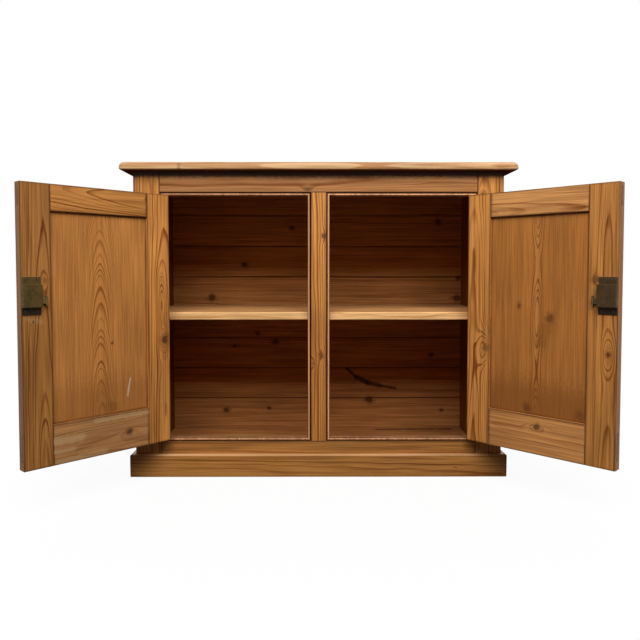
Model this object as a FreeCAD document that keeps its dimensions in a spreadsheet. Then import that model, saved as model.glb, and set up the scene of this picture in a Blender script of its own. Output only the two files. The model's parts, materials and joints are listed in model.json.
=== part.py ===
"""Two-door pine jelly cupboard: carcass, face frame, beaded openings, framed doors, hinges and rim latches.

Frame of the part: origin on the floor, in the middle of the width, in the plane of the face
frame's front. +X is right, +Y goes to the back, +Z is up. Millimetres.

The doors stand open by door_open_angle. Everything that hangs on a door is built as if the door
were closed, in a frame whose origin lies on the hinge axis, and is then turned about that axis.
"""
import FreeCAD
import Part
import Sketcher

import math
import operator
import os
from types import SimpleNamespace

LEFT = -1
RIGHT = 1
SIDES = ((LEFT, "left"), (RIGHT, "right"))

KNUCKLES = 5
HINGE_SCREWS = 3
BACK_BOARDS = 8
BATTEN_SCREWS = 3

# Driving dimensions in millimetres and degrees.
DIMENSIONS = {
    # carcass
    "body_width": 1000,
    "body_depth": 414,
    "carcass_height": 830,
    "side_thickness": 20,
    "housing_depth": 7,
    # back boards
    "back_board_thickness": 14,
    "back_bottom_board_height": 134.9,
    "back_top_board_height": 85.5,
    "back_seam_gap": 0.9,
    "tongue_height": 5,
    "tongue_thickness": 4,
    "tongue_clearance": 1,
    "nail_radius": 1.3,
    "nail_head_radius": 2.6,
    "nail_head_height": 1,
    "nail_length": 42,
    "nail_inset": 22,
    # top
    "top_thickness": 22,
    "top_side_overhang": 31,
    "top_front_overhang": 28,
    "top_upper_round": 14,
    "top_lower_round": 5,
    "top_corner_round": 6,
    "batten_width": 22,
    "batten_height": 28,
    "batten_screw_length": 40,
    # floor and shelf
    "floor_top": 33.5,
    "floor_thickness": 18,
    "shelf_top": 448,
    "shelf_thickness": 22,
    "shelf_shoulder": 8,
    "shelf_setback": 4,
    "shelf_round": 3,
    # plinth
    "plinth_height": 62,
    "plinth_thickness": 13,
    "plinth_round": 5,
    # face frame
    "frame_thickness": 26,
    "stile_width": 71,
    "mullion_width": 42,
    "top_rail_height": 56.5,
    "bottom_rail_height": 95.5,
    "frame_tenon_length": 40,
    "frame_tenon_thickness": 10,
    "frame_tenon_shoulder": 7,
    "mullion_tenon_length": 15,
    # bead round each opening
    "bead_width": 8.5,
    "bead_depth": 26,
    "quirk_width": 3,
    "quirk_depth": 3,
    "bead_round": 2.4,
    # doors
    "door_open_angle": 134.3,
    "door_thickness": 26,
    "hinge_gap": 2,
    "latch_gap": 2.2,
    "door_gap": 2.2,
    "hinge_stile_width": 65,
    "lock_stile_width": 69,
    "door_top_rail_height": 62.5,
    "door_bottom_rail_height": 96.5,
    "panel_thickness": 10,
    "panel_front_recess": 9,
    "groove_depth": 9,
    "panel_clearance": 1,
    "top_tenon_haunch": 9.5,
    "bottom_tenon_haunch": 20,
    # hinges
    "hinge_length": 62,
    "hinge_leaf_width": 20,
    "hinge_leaf_thickness": 1.5,
    "hinge_leaf_clearance": 0.1,
    "knuckle_radius": 3.4,
    "knuckle_gap": 0.2,
    "hinge_pin_radius": 1.5,
    "hinge_pin_clearance": 0.05,
    "hinge_pin_end": 1.2,
    "hinge_stand_off": 3.5,
    # screws
    "screw_shank_radius": 1.5,
    "screw_head_radius": 2.9,
    "screw_head_height": 1.4,
    "screw_length": 15,
    # rim latches
    "lock_width": 43,
    "lock_plate_height": 87,
    "lock_plate_thickness": 1.6,
    "lock_plate_bottom": 462,
    "lock_setback": 1,
    "case_height": 52,
    "case_depth": 11,
    "case_wall": 1.5,
    "case_offset": 17.5,
    "case_round": 0.9,
    "lock_screw_inset": 8,
    "bolt_height": 13.5,
    "bolt_thickness": 7,
    "bolt_rise": 8,
    "bolt_clearance": 0.4,
    "bolt_tail": 9,
    "finger_thickness": 3,
    "finger_height": 22,
    "finger_depth": 9,
    "cam_length": 12,
    "cam_width": 2.4,
    "cam_tip_radius": 2,
    "cam_thickness": 4,
    "cam_engagement": 2.5,
    "cam_rest_angle": 20,
    "notch_width": 5,
    "notch_depth": 6,
    # knobs
    "spindle_backset": 28,
    "spindle_radius": 3,
    "spindle_clearance": 0.08,
    "hub_radius": 5,
    "rose_radius": 15,
    "rose_thickness": 2.5,
    "rose_round": 1.5,
    "knob_gap": 0.4,
    "knob_neck_length": 13,
    "knob_base_radius": 8.5,
    "knob_neck_radius": 5.5,
    "knob_head_radius": 14,
    "knob_head_depth": 8.5,
    "knob_bore_depth": 10,
}

CUT_MARGIN = 1  # how far a cutting tool runs past the face that it opens

DOC = FreeCAD.newDocument("jelly_cupboard")
SHEET = DOC.addObject("Spreadsheet::Sheet", "Sizes")
NODES = []


# ---------------------------------------------------------------- sizes

class Size:
    """A length or an angle: the formula that the document keeps for it, and its value now."""

    def __init__(self, formula, now):
        self.formula = formula
        self.now = now


def formula_of(amount):
    """The formula of a size, or of a plain number."""
    return amount.formula if isinstance(amount, Size) else str(amount)


def now_of(amount):
    """The present value of a size, or a plain number itself."""
    return amount.now if isinstance(amount, Size) else amount


def arithmetic(sign, work):
    """An operator on sizes, with the size on its left and on its right."""
    def forward(first, second):
        return Size(f"({first.formula} {sign} {formula_of(second)})", work(first.now, now_of(second)))

    def backward(second, first):
        return Size(f"({formula_of(first)} {sign} {second.formula})", work(now_of(first), second.now))

    return forward, backward


Size.__add__, Size.__radd__ = arithmetic("+", operator.add)
Size.__sub__, Size.__rsub__ = arithmetic("-", operator.sub)
Size.__mul__, Size.__rmul__ = arithmetic("*", operator.mul)
Size.__truediv__, Size.__rtruediv__ = arithmetic("/", operator.truediv)
Size.__neg__ = lambda amount: -1 * amount


def sine(angle):
    """The sine of an angle in degrees."""
    return Size(f"sin({angle.formula} * 1deg)", math.sin(math.radians(angle.now)))


def fill_sheet():
    """Writes every driving dimension into the sheet, each with its alias."""
    for row, (alias, number) in enumerate(DIMENSIONS.items(), 1):
        SHEET.set(f"A{row}", alias)
        SHEET.set(f"B{row}", str(number))
        SHEET.setAlias(f"B{row}", alias)
    DOC.recompute()


fill_sheet()
size = SimpleNamespace(**{alias: Size("Sizes." + alias, float(SHEET.get(alias))) for alias in DIMENSIONS})

# carcass and face frame
HALF_WIDTH = size.body_width / 2
INNER_HALF = HALF_WIDTH - size.side_thickness
BACK_Y = size.body_depth - size.back_board_thickness
INNER_DEPTH = BACK_Y - size.frame_thickness
OPENING_OUTER = HALF_WIDTH - size.stile_width
OPENING_INNER = size.mullion_width / 2
OPENING_WIDTH = OPENING_OUTER - OPENING_INNER
OPENING_BOTTOM = size.bottom_rail_height
OPENING_TOP = size.carcass_height - size.top_rail_height
OPENING_HEIGHT = OPENING_TOP - OPENING_BOTTOM

# doors, with distances from the hinge axis
HINGE_AXIS_X = OPENING_OUTER - size.bead_width - size.hinge_gap / 2
DOOR_EDGE = size.hinge_gap / 2
DOOR_FRONT = size.hinge_stand_off
DOOR_BACK = size.hinge_stand_off + size.door_thickness
DOOR_WIDTH = OPENING_WIDTH - 2 * size.bead_width - size.hinge_gap - size.latch_gap
DOOR_BOTTOM = OPENING_BOTTOM + size.bead_width + size.door_gap
DOOR_TOP = OPENING_TOP - size.bead_width - size.door_gap
DOOR_HEIGHT = DOOR_TOP - DOOR_BOTTOM
LATCH_EDGE = DOOR_EDGE + DOOR_WIDTH
RAIL_START = DOOR_EDGE + size.hinge_stile_width
RAIL_LENGTH = DOOR_WIDTH - size.hinge_stile_width - size.lock_stile_width
TOP_RAIL_BOTTOM = DOOR_TOP - size.door_top_rail_height
BOTTOM_RAIL_TOP = DOOR_BOTTOM + size.door_bottom_rail_height
PANEL_FRONT = DOOR_FRONT + size.panel_front_recess
GROOVE_START = RAIL_START - size.groove_depth
GROOVE_LENGTH = RAIL_LENGTH + 2 * size.groove_depth
GROOVE_BOTTOM = BOTTOM_RAIL_TOP - size.groove_depth
GROOVE_HEIGHT = TOP_RAIL_BOTTOM + size.groove_depth - GROOVE_BOTTOM

# hinges, each in line with the inner edge of a rail
HINGES = (("upper", TOP_RAIL_BOTTOM - size.hinge_length), ("lower", BOTTOM_RAIL_TOP))
LEAF_START = size.knuckle_radius + size.knuckle_gap
HINGE_SCREW_Y = (size.knuckle_radius + size.hinge_leaf_width) / 2
FRAME_LEAF_U = -size.hinge_leaf_clearance - size.hinge_leaf_thickness
DOOR_LEAF_U = size.hinge_leaf_clearance

# rim latches and knobs
LOCK_END = LATCH_EDGE - size.lock_setback
LOCK_START = LOCK_END - size.lock_width
PLATE_FACE = DOOR_BACK + size.lock_plate_thickness
CASE_FACE = PLATE_FACE + size.case_depth
CASE_BOTTOM = size.lock_plate_bottom + size.case_offset
BOLT_Y = PLATE_FACE + size.bolt_clearance
BOLT_BOTTOM = CASE_BOTTOM + size.bolt_rise
BOLT_TOP = BOLT_BOTTOM + size.bolt_height
BOLT_TAIL_END = LOCK_START - size.bolt_tail
SPINDLE_U = LOCK_END - size.spindle_backset
SPINDLE_Z = BOLT_TOP - size.cam_engagement + size.cam_length
ROSE_FACE = DOOR_FRONT - size.rose_thickness
KNOB_BASE = ROSE_FACE - size.knob_gap


# ---------------------------------------------------------------- helpers

def bind(thing, field, amount):
    """Ties one property of an object to the sheet."""
    thing.setExpression(field, formula_of(amount))


def place(thing, x, y, z):
    """Ties an object's position to the sheet."""
    for letter, amount in zip("xyz", (x, y, z)):
        bind(thing, "Placement.Base." + letter, amount)
    return thing


def turn(thing, axis, angle):
    """Turns an object about an axis through its own origin."""
    rotation = FreeCAD.Rotation(FreeCAD.Vector(*axis), now_of(angle))
    thing.Placement = FreeCAD.Placement(FreeCAD.Vector(), rotation)
    if isinstance(angle, Size):
        bind(thing, "Placement.Rotation.Angle", angle)
    return thing


def pointed(thing, direction):
    """Turns something that was built along +Z so that it points along the named direction."""
    turns = {
        "+z": ((0, 0, 1), 0),
        "+x": ((0, 1, 0), 90),
        "-x": ((0, 1, 0), -90),
        "+y": ((1, 0, 0), -90),
        "-y": ((1, 0, 0), 90),
    }
    return turn(thing, *turns[direction])


def block(name, x, y, z, length, depth, height):
    """A plain rectangular block, from its lowest corner and its three sizes."""
    box = DOC.addObject("Part::Box", name)
    bind(box, "Length", length)
    bind(box, "Width", depth)
    bind(box, "Height", height)
    return place(box, x, y, z)


def rod(name, x, y, z, radius, length, direction="+z"):
    """A round bar that starts at a point and runs along the named direction."""
    bar = pointed(DOC.addObject("Part::Cylinder", name), direction)
    bind(bar, "Radius", radius)
    bind(bar, "Height", length)
    return place(bar, x, y, z)


def taper(name, x, y, z, start_radius, end_radius, length, direction):
    """A straight taper that starts at a point and runs along the named direction."""
    cone = pointed(DOC.addObject("Part::Cone", name), direction)
    bind(cone, "Radius1", start_radius)
    bind(cone, "Radius2", end_radius)
    bind(cone, "Height", length)
    return place(cone, x, y, z)


def joined(name, *things):
    """One solid made of solids that meet."""
    fuse = DOC.addObject("Part::MultiFuse", name)
    fuse.Shapes = list(things)
    fuse.Refine = True
    return fuse


def less(name, base, *tools):
    """The base with every tool cut away."""
    cut = DOC.addObject("Part::Cut", name)
    cut.Base = base
    cut.Tool = tools[0] if len(tools) == 1 else joined(name + "_tools", *tools)
    return cut


def rounded(name, base, radius_for):
    """Rounds each edge for which radius_for(edge) gives a size."""
    DOC.recompute()
    fillet = DOC.addObject("Part::Fillet", name)
    fillet.Base = base
    radii = [(index, radius_for(edge)) for index, edge in enumerate(base.Shape.Edges, 1)]
    fillet.Edges = [(index, radius.now, radius.now) for index, radius in radii if radius]
    return fillet


def grouped(name, *things):
    """Several separate solids that share one node, or one solid that takes a placement."""
    group = DOC.addObject("Part::Compound", name)
    group.Links = list(things)
    return group


def outline(sketch, points):
    """Closes straight edges through the points and ties each point to the sheet."""
    corners = [FreeCAD.Vector(now_of(level), now_of(upright), 0) for level, upright in points]
    count = len(corners)
    for index in range(count):
        sketch.addGeometry(Part.LineSegment(corners[index], corners[(index + 1) % count]), False)
    for index in range(count):
        sketch.addConstraint(Sketcher.Constraint("Coincident", index, 2, (index + 1) % count, 1))
    for index, point in enumerate(points):
        for kind, amount in zip(("DistanceX", "DistanceY"), point):
            number = sketch.addConstraint(Sketcher.Constraint(kind, -1, 1, index, 1, now_of(amount)))
            bind(sketch, f"Constraints[{number}]", amount)


def sketch_in(body, name, role, points):
    """A closed outline on one of a body's own origin planes."""
    plane = [item for item in body.Origin.OriginFeatures if item.Role == role][0]
    sketch = body.newObject("Sketcher::SketchObject", name)
    sketch.AttachmentSupport = [(plane, "")]
    sketch.MapMode = "FlatFace"
    outline(sketch, points)
    return sketch


def padded_body(name, role, points, length, midplane=False):
    """A body whose first feature pads an outline by a length."""
    body = DOC.addObject("PartDesign::Body", name)
    pad = body.newObject("PartDesign::Pad", name + "_pad")
    pad.Profile = sketch_in(body, name + "_outline", role, points)
    bind(pad, "Length", length)
    pad.Midplane = midplane
    body.Tip = pad
    return body


def pocketed(body, name, role, points):
    """Cuts an outline right through a body, both ways."""
    pocket = body.newObject("PartDesign::Pocket", name)
    pocket.Profile = sketch_in(body, name + "_outline", role, points)
    pocket.Type = "ThroughAll"
    pocket.Midplane = True
    body.Tip = pocket


def softened(body, name, radius, chosen):
    """Rounds the chosen edges of a body's last feature."""
    DOC.recompute()
    last = body.Tip
    names = [f"Edge{index}" for index, edge in enumerate(last.Shape.Edges, 1) if chosen(edge)]
    fillet = body.newObject("PartDesign::Fillet", name)
    fillet.Base = (last, names)
    bind(fillet, "Radius", radius)
    body.Tip = fillet


def node(name, thing):
    """Names a finished sub-part and lists it for export."""
    thing.Label = name
    NODES.append(thing)


def lies_at(edge, axis, position):
    """True when every end of an edge has this coordinate."""
    return all(math.isclose(getattr(vertex.Point, axis), now_of(position), abs_tol=1e-4)
               for vertex in edge.Vertexes)


def every(groups):
    """All the members of the lists in a dictionary, in one list."""
    return [member for group in groups.values() for member in group]


def screw(name, x, y, z, direction, length=size.screw_length):
    """A countersunk wood screw whose head is flush with its starting point."""
    head = taper(name + "_head", x, y, z, size.screw_head_radius, size.screw_shank_radius,
                 size.screw_head_height, direction)
    shank = rod(name + "_shank", x, y, z, size.screw_shank_radius, length, direction)
    return joined(name, head, shank)


# ---------------------------------------------------------------- helpers for what hangs on a door

def low_corner(side, start, width):
    """X of the low corner of a span that starts at a distance from the hinge axis."""
    return start if side == LEFT else -(start + width)


def door_block(side, name, start, y, z, width, depth, height):
    """A block in the frame of one door's hinge axis."""
    return block(name, low_corner(side, start, width), y, z, width, depth, height)


def hung(side, name, *things, moving=True):
    """Brings a sub-part from the frame of the hinge axis to its place on the cupboard."""
    group = grouped(name, *things)
    if moving:
        turn(group, (0, 0, 1), side * size.door_open_angle)
    return place(group, side * HINGE_AXIS_X, -size.hinge_stand_off, 0)


# ---------------------------------------------------------------- carcass

def back_board_span(index):
    """The lower edge and the height of one back board; all but the lowest and the highest are equal."""
    if index == 0:
        return 0, size.back_bottom_board_height - size.back_seam_gap
    if index == BACK_BOARDS - 1:
        return size.carcass_height - size.back_top_board_height, size.back_top_board_height
    between = size.carcass_height - size.back_bottom_board_height - size.back_top_board_height
    pitch = between / (BACK_BOARDS - 2)
    return size.back_bottom_board_height + (index - 1) * pitch, pitch - size.back_seam_gap


def board_nails(side, word, index):
    """Two nails through one back board into one end board."""
    low, height = back_board_span(index)
    x = side * (HALF_WIDTH - size.side_thickness / 2)
    made = []
    for end, z in (("low", low + size.nail_inset), ("high", low + height - size.nail_inset)):
        name = f"{word}_nail_{index + 1}_{end}"
        shank = rod(name + "_shank", x, size.body_depth, z, size.nail_radius, size.nail_length, "-y")
        head = rod(name + "_head", x, size.body_depth, z, size.nail_head_radius, size.nail_head_height, "-y")
        made.append(joined(name, shank, head))
    return made


def make_side(side, word, nails):
    """One end board, housed for the floor and the shelf."""
    start = -HALF_WIDTH if side == LEFT else INNER_HALF
    board = block(f"{word}_side_board", start, size.frame_thickness, 0,
                  size.side_thickness, INNER_DEPTH, size.carcass_height)
    housing_start = -INNER_HALF - size.housing_depth if side == LEFT else INNER_HALF
    floor_housing = block(f"{word}_floor_housing", housing_start, size.frame_thickness,
                          size.floor_top - size.floor_thickness,
                          size.housing_depth, INNER_DEPTH, size.floor_thickness)
    shelf_housing = block(f"{word}_shelf_housing", housing_start,
                          size.frame_thickness + size.shelf_setback,
                          size.shelf_top - size.shelf_thickness,
                          size.housing_depth, INNER_DEPTH - size.shelf_setback,
                          size.shelf_thickness - size.shelf_shoulder)
    node(f"{word}_side", less(f"{word}_side_cut", board, floor_housing, shelf_housing, *nails))


def make_back(nails):
    """Horizontal boards, tongued and grooved, nailed to the back edges of the ends."""
    tongue_y = BACK_Y + (size.back_board_thickness - size.tongue_thickness) / 2
    boards = []
    for index in range(BACK_BOARDS):
        low, height = back_board_span(index)
        name = f"back_board_{index + 1}"
        board = block(name + "_plank", -HALF_WIDTH, BACK_Y, low,
                      size.body_width, size.back_board_thickness, height)
        if index < BACK_BOARDS - 1:
            tongue = block(name + "_tongue", -HALF_WIDTH, tongue_y, low + height,
                           size.body_width, size.tongue_thickness, size.back_seam_gap + size.tongue_height)
            board = joined(name + "_tongued", board, tongue)
        cuts = nails[LEFT, index] + nails[RIGHT, index]
        if index > 0:
            cuts.append(block(name + "_groove", -HALF_WIDTH - CUT_MARGIN, tongue_y, low - CUT_MARGIN,
                              size.body_width + 2 * CUT_MARGIN, size.tongue_thickness,
                              size.tongue_height + size.tongue_clearance + CUT_MARGIN))
        boards.append(less(name, board, *cuts))
    node("back_boards", grouped("back_boards_group", *boards))
    node("back_board_nails", grouped("back_nails_group", *every(nails)))


def batten_screws(side, word):
    """Screws up through one batten into the top."""
    made = []
    for index in range(BATTEN_SCREWS):
        x = side * (INNER_HALF - size.batten_width / 2)
        y = size.frame_thickness + INNER_DEPTH * (2 * index + 1) / (2 * BATTEN_SCREWS)
        made.append(screw(f"{word}_batten_screw_{index + 1}", x, y, size.carcass_height - size.batten_height,
                          "+z", size.batten_screw_length))
    return made


def make_top():
    """The top board with its rounded nosing, and the battens that it is screwed to."""
    half = HALF_WIDTH + size.top_side_overhang
    board = block("top_plank", -half, -size.top_front_overhang, size.carcass_height,
                  2 * half, size.body_depth + size.top_front_overhang, size.top_thickness)
    top_surface = size.carcass_height + size.top_thickness

    def radius_for(edge):
        at_front = lies_at(edge, "y", -size.top_front_overhang)
        at_end = lies_at(edge, "x", half) or lies_at(edge, "x", -half)
        if lies_at(edge, "y", size.body_depth) or not (at_front or at_end):
            return None
        if lies_at(edge, "z", top_surface):
            return size.top_upper_round
        if lies_at(edge, "z", size.carcass_height):
            return size.top_lower_round
        return size.top_corner_round

    nosed = rounded("top_nosing", board, radius_for)
    screws = []
    for side, word in SIDES:
        own = batten_screws(side, word)
        start = -INNER_HALF if side == LEFT else INNER_HALF - size.batten_width
        batten = block(f"{word}_batten", start, size.frame_thickness,
                       size.carcass_height - size.batten_height,
                       size.batten_width, INNER_DEPTH, size.batten_height)
        node(f"top_batten_{word}", less(f"{word}_batten_cut", batten, *own))
        screws += own
    node("top_board", less("top_board_cut", nosed, *screws))
    node("top_batten_screws", grouped("batten_screws_group", *screws))


def make_floor_and_shelf():
    """Two floor boards and the fixed shelf, all let into the ends, the shelf with a shoulder on top."""
    tongued_half = INNER_HALF + size.housing_depth
    for index, word in enumerate(("front", "back")):
        board = block(f"floor_{word}", -tongued_half, size.frame_thickness + index * INNER_DEPTH / 2,
                      size.floor_top - size.floor_thickness,
                      2 * tongued_half, INNER_DEPTH / 2, size.floor_thickness)
        node(f"floor_board_{word}", board)
    front = size.frame_thickness + size.shelf_setback
    depth = INNER_DEPTH - size.shelf_setback
    underside = size.shelf_top - size.shelf_thickness
    plank = block("shelf_plank", -INNER_HALF, front, underside, 2 * INNER_HALF, depth, size.shelf_thickness)

    def radius_for(edge):
        on_arris = lies_at(edge, "z", size.shelf_top) or lies_at(edge, "z", underside)
        return size.shelf_round if on_arris and lies_at(edge, "y", front) else None

    tongues = [block(f"shelf_{word}_tongue", -tongued_half if side == LEFT else INNER_HALF, front, underside,
                     size.housing_depth, depth, size.shelf_thickness - size.shelf_shoulder)
               for side, word in SIDES]
    node("shelf", joined("shelf_solid", rounded("shelf_rounded", plank, radius_for), *tongues))


# ---------------------------------------------------------------- face frame and plinth

def make_face_frame(screws):
    """Stiles, rails and mullion, tenoned together."""
    tenon_y = (size.frame_thickness - size.frame_tenon_thickness) / 2
    mullion_tenons = block("mullion_tenons", size.frame_tenon_shoulder - OPENING_INNER, tenon_y,
                           OPENING_BOTTOM - size.mullion_tenon_length,
                           size.mullion_width - 2 * size.frame_tenon_shoulder,
                           size.frame_tenon_thickness,
                           OPENING_HEIGHT + 2 * size.mullion_tenon_length)
    rail_tenons = []
    for name, low, height in (("top_rail", OPENING_TOP, size.top_rail_height),
                              ("bottom_rail", 0, size.bottom_rail_height)):
        rail = block(name + "_plank", -OPENING_OUTER, 0, low,
                     2 * OPENING_OUTER, size.frame_thickness, height)
        reach = OPENING_OUTER + size.frame_tenon_length
        tenons = block(name + "_tenons", -reach, tenon_y, low + size.frame_tenon_shoulder,
                       2 * reach, size.frame_tenon_thickness, height - 2 * size.frame_tenon_shoulder)
        rail_tenons.append(tenons)
        node(name, less(name + "_cut", joined(name + "_solid", rail, tenons), mullion_tenons))
    upright = block("mullion_upright", -OPENING_INNER, 0, OPENING_BOTTOM,
                    size.mullion_width, size.frame_thickness, OPENING_HEIGHT)
    node("mullion", joined("mullion_solid", upright, mullion_tenons))
    for side, word in SIDES:
        start = -HALF_WIDTH if side == LEFT else OPENING_OUTER
        upright = block(f"{word}_stile_upright", start, 0, 0,
                        size.stile_width, size.frame_thickness, size.carcass_height)
        node(f"{word}_stile", less(f"{word}_stile_cut", upright, *rail_tenons, screws[side].on_frame))


def make_plinth():
    """A planted plinth, mitred at the front corners, with a rounded upper edge."""
    outer = HALF_WIDTH + size.plinth_thickness
    front = padded_body("plinth_front_body", "XY_Plane", (
        (-outer, -size.plinth_thickness), (outer, -size.plinth_thickness),
        (HALF_WIDTH, 0), (-HALF_WIDTH, 0)), size.plinth_height)
    softened(front, "plinth_front_round", size.plinth_round,
             lambda edge: lies_at(edge, "y", -size.plinth_thickness) and lies_at(edge, "z", size.plinth_height))
    node("plinth_front", front)
    for side, word in SIDES:
        outside = side * outer
        inside = side * HALF_WIDTH
        body = padded_body(f"plinth_{word}_body", "XY_Plane", (
            (outside, -size.plinth_thickness), (outside, size.body_depth),
            (inside, size.body_depth), (inside, 0)), size.plinth_height)
        softened(body, f"plinth_{word}_round", size.plinth_round,
                 lambda edge, x=outside: lies_at(edge, "x", x) and lies_at(edge, "z", size.plinth_height))
        node(f"plinth_{word}", body)


# ---------------------------------------------------------------- beads round the openings

def bead_strip(name, length):
    """One mitred strip of bead: its length lies along X, its back on Z = 0, its nose towards +Z."""
    strip = padded_body(name, "YZ_Plane", (
        (size.quirk_depth, 0), (size.bead_depth, 0), (size.bead_depth, size.bead_width),
        (0, size.bead_width), (0, size.quirk_width), (size.quirk_depth, size.quirk_width)),
        length, midplane=True)
    softened(strip, name + "_nose", size.bead_round,
             lambda edge: lies_at(edge, "y", 0)
             and (lies_at(edge, "z", size.quirk_width) or lies_at(edge, "z", size.bead_width)))
    above = size.bead_width + CUT_MARGIN
    for word, sign in (("low", -1), ("high", 1)):
        tip = sign * length / 2
        inner = sign * (length / 2 - size.bead_width)
        past = sign * (length / 2 + CUT_MARGIN)
        pocketed(strip, f"{name}_{word}_mitre", "XZ_Plane", (
            (tip, 0), (inner, size.bead_width), (inner, above), (past, above), (past, 0)))
    return strip


def make_beads(screws):
    """Four mitred strips round each door opening."""
    middle_x = (OPENING_OUTER + OPENING_INNER) / 2
    middle_z = OPENING_BOTTOM + OPENING_HEIGHT / 2
    for side, word in SIDES:
        strips = []
        for edge, length, angle, x, z in (
                ("bottom", OPENING_WIDTH, 0, side * middle_x, OPENING_BOTTOM),
                ("top", OPENING_WIDTH, 180, side * middle_x, OPENING_TOP),
                ("hinge", OPENING_HEIGHT, -90 * side, side * OPENING_OUTER, middle_z),
                ("latch", OPENING_HEIGHT, 90 * side, side * OPENING_INNER, middle_z)):
            strip = bead_strip(f"{word}_{edge}_bead", length)
            place(turn(strip, (0, 1, 0), angle), x, 0, z)
            if edge == "hinge":
                seats = [leaf_seat(side, f"{word}_{level}_frame_seat", FRAME_LEAF_U, low)
                         for level, low in HINGES]
                seats = hung(side, f"{word}_frame_seats", *seats, moving=False)
                strip = less(f"{word}_hinge_bead_cut", strip, seats, screws[side].on_frame)
            strips.append(strip)
        node(f"{word}_opening_bead", grouped(f"{word}_bead_group", *strips))


# ---------------------------------------------------------------- hinges

def leaf_screws(side, word, leaf_name, start, direction):
    """The screws of both leaves of one kind on one door, in the frame of its hinge axis."""
    pitch = size.hinge_length / HINGE_SCREWS
    return {level: [screw(f"{word}_{level}_{leaf_name}_screw_{index + 1}", -side * start, HINGE_SCREW_Y,
                          low + pitch / 2 + index * pitch, direction) for index in range(HINGE_SCREWS)]
            for level, low in HINGES}


def hinge_screws(side, word):
    """The hinge screws of one door: in the door, in the frame, and the latter in their place."""
    away, towards = ("+x", "-x") if side == LEFT else ("-x", "+x")
    door = leaf_screws(side, word, "door", DOOR_LEAF_U, away)
    frame = leaf_screws(side, word, "frame", -size.hinge_leaf_clearance, towards)
    on_frame = hung(side, f"{word}_frame_screws", *every(frame), moving=False)
    return SimpleNamespace(door=door, frame=frame, on_frame=on_frame)


def leaf_seat(side, name, start, low):
    """The shallow recess that a hinge leaf lies in."""
    front = size.knuckle_radius - CUT_MARGIN
    return door_block(side, name, start, front, low,
                      size.hinge_leaf_thickness, size.hinge_leaf_width - front, size.hinge_length)


def leaf(side, name, start, low, own_knuckles, screws):
    """A hinge leaf: a plate, its share of the knuckles, the pin's bore and the countersinks."""
    solids = [door_block(side, name + "_plate", start, LEAF_START, low,
                         size.hinge_leaf_thickness, size.hinge_leaf_width - LEAF_START, size.hinge_length)]
    pitch = size.hinge_length / KNUCKLES
    height = pitch - size.knuckle_gap
    for index in own_knuckles:
        z = low + index * pitch + size.knuckle_gap / 2
        solids.append(rod(f"{name}_knuckle_{index + 1}", 0, 0, z, size.knuckle_radius, height))
        solids.append(door_block(side, f"{name}_neck_{index + 1}", start, 0, z,
                                 size.hinge_leaf_thickness, LEAF_START, height))
    bore = rod(name + "_bore", 0, 0, low - CUT_MARGIN, size.hinge_pin_radius + size.hinge_pin_clearance,
               size.hinge_length + 2 * CUT_MARGIN)
    return less(name + "_cut", joined(name + "_solid", *solids), bore, *screws)


def make_hinges(side, word, screws):
    """Two butt hinges on one door, with loose pins."""
    for level, low in HINGES:
        name = f"{word}_{level}_hinge"
        frame_leaf = leaf(side, name + "_frame", FRAME_LEAF_U, low, range(0, KNUCKLES, 2), screws.frame[level])
        node(name + "_frame_leaf", hung(side, name + "_frame_hung", frame_leaf, moving=False))
        door_leaf = leaf(side, name + "_door", DOOR_LEAF_U, low, range(1, KNUCKLES, 2), screws.door[level])
        node(name + "_door_leaf", hung(side, name + "_door_hung", door_leaf))
        pin = rod(name + "_pin_rod", 0, 0, low - size.hinge_pin_end,
                  size.hinge_pin_radius, size.hinge_length + 2 * size.hinge_pin_end)
        node(name + "_pin", hung(side, name + "_pin_hung", pin, moving=False))
    node(f"{word}_door_hinge_screws", hung(side, f"{word}_door_screws_hung", *every(screws.door)))


# ---------------------------------------------------------------- doors

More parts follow.
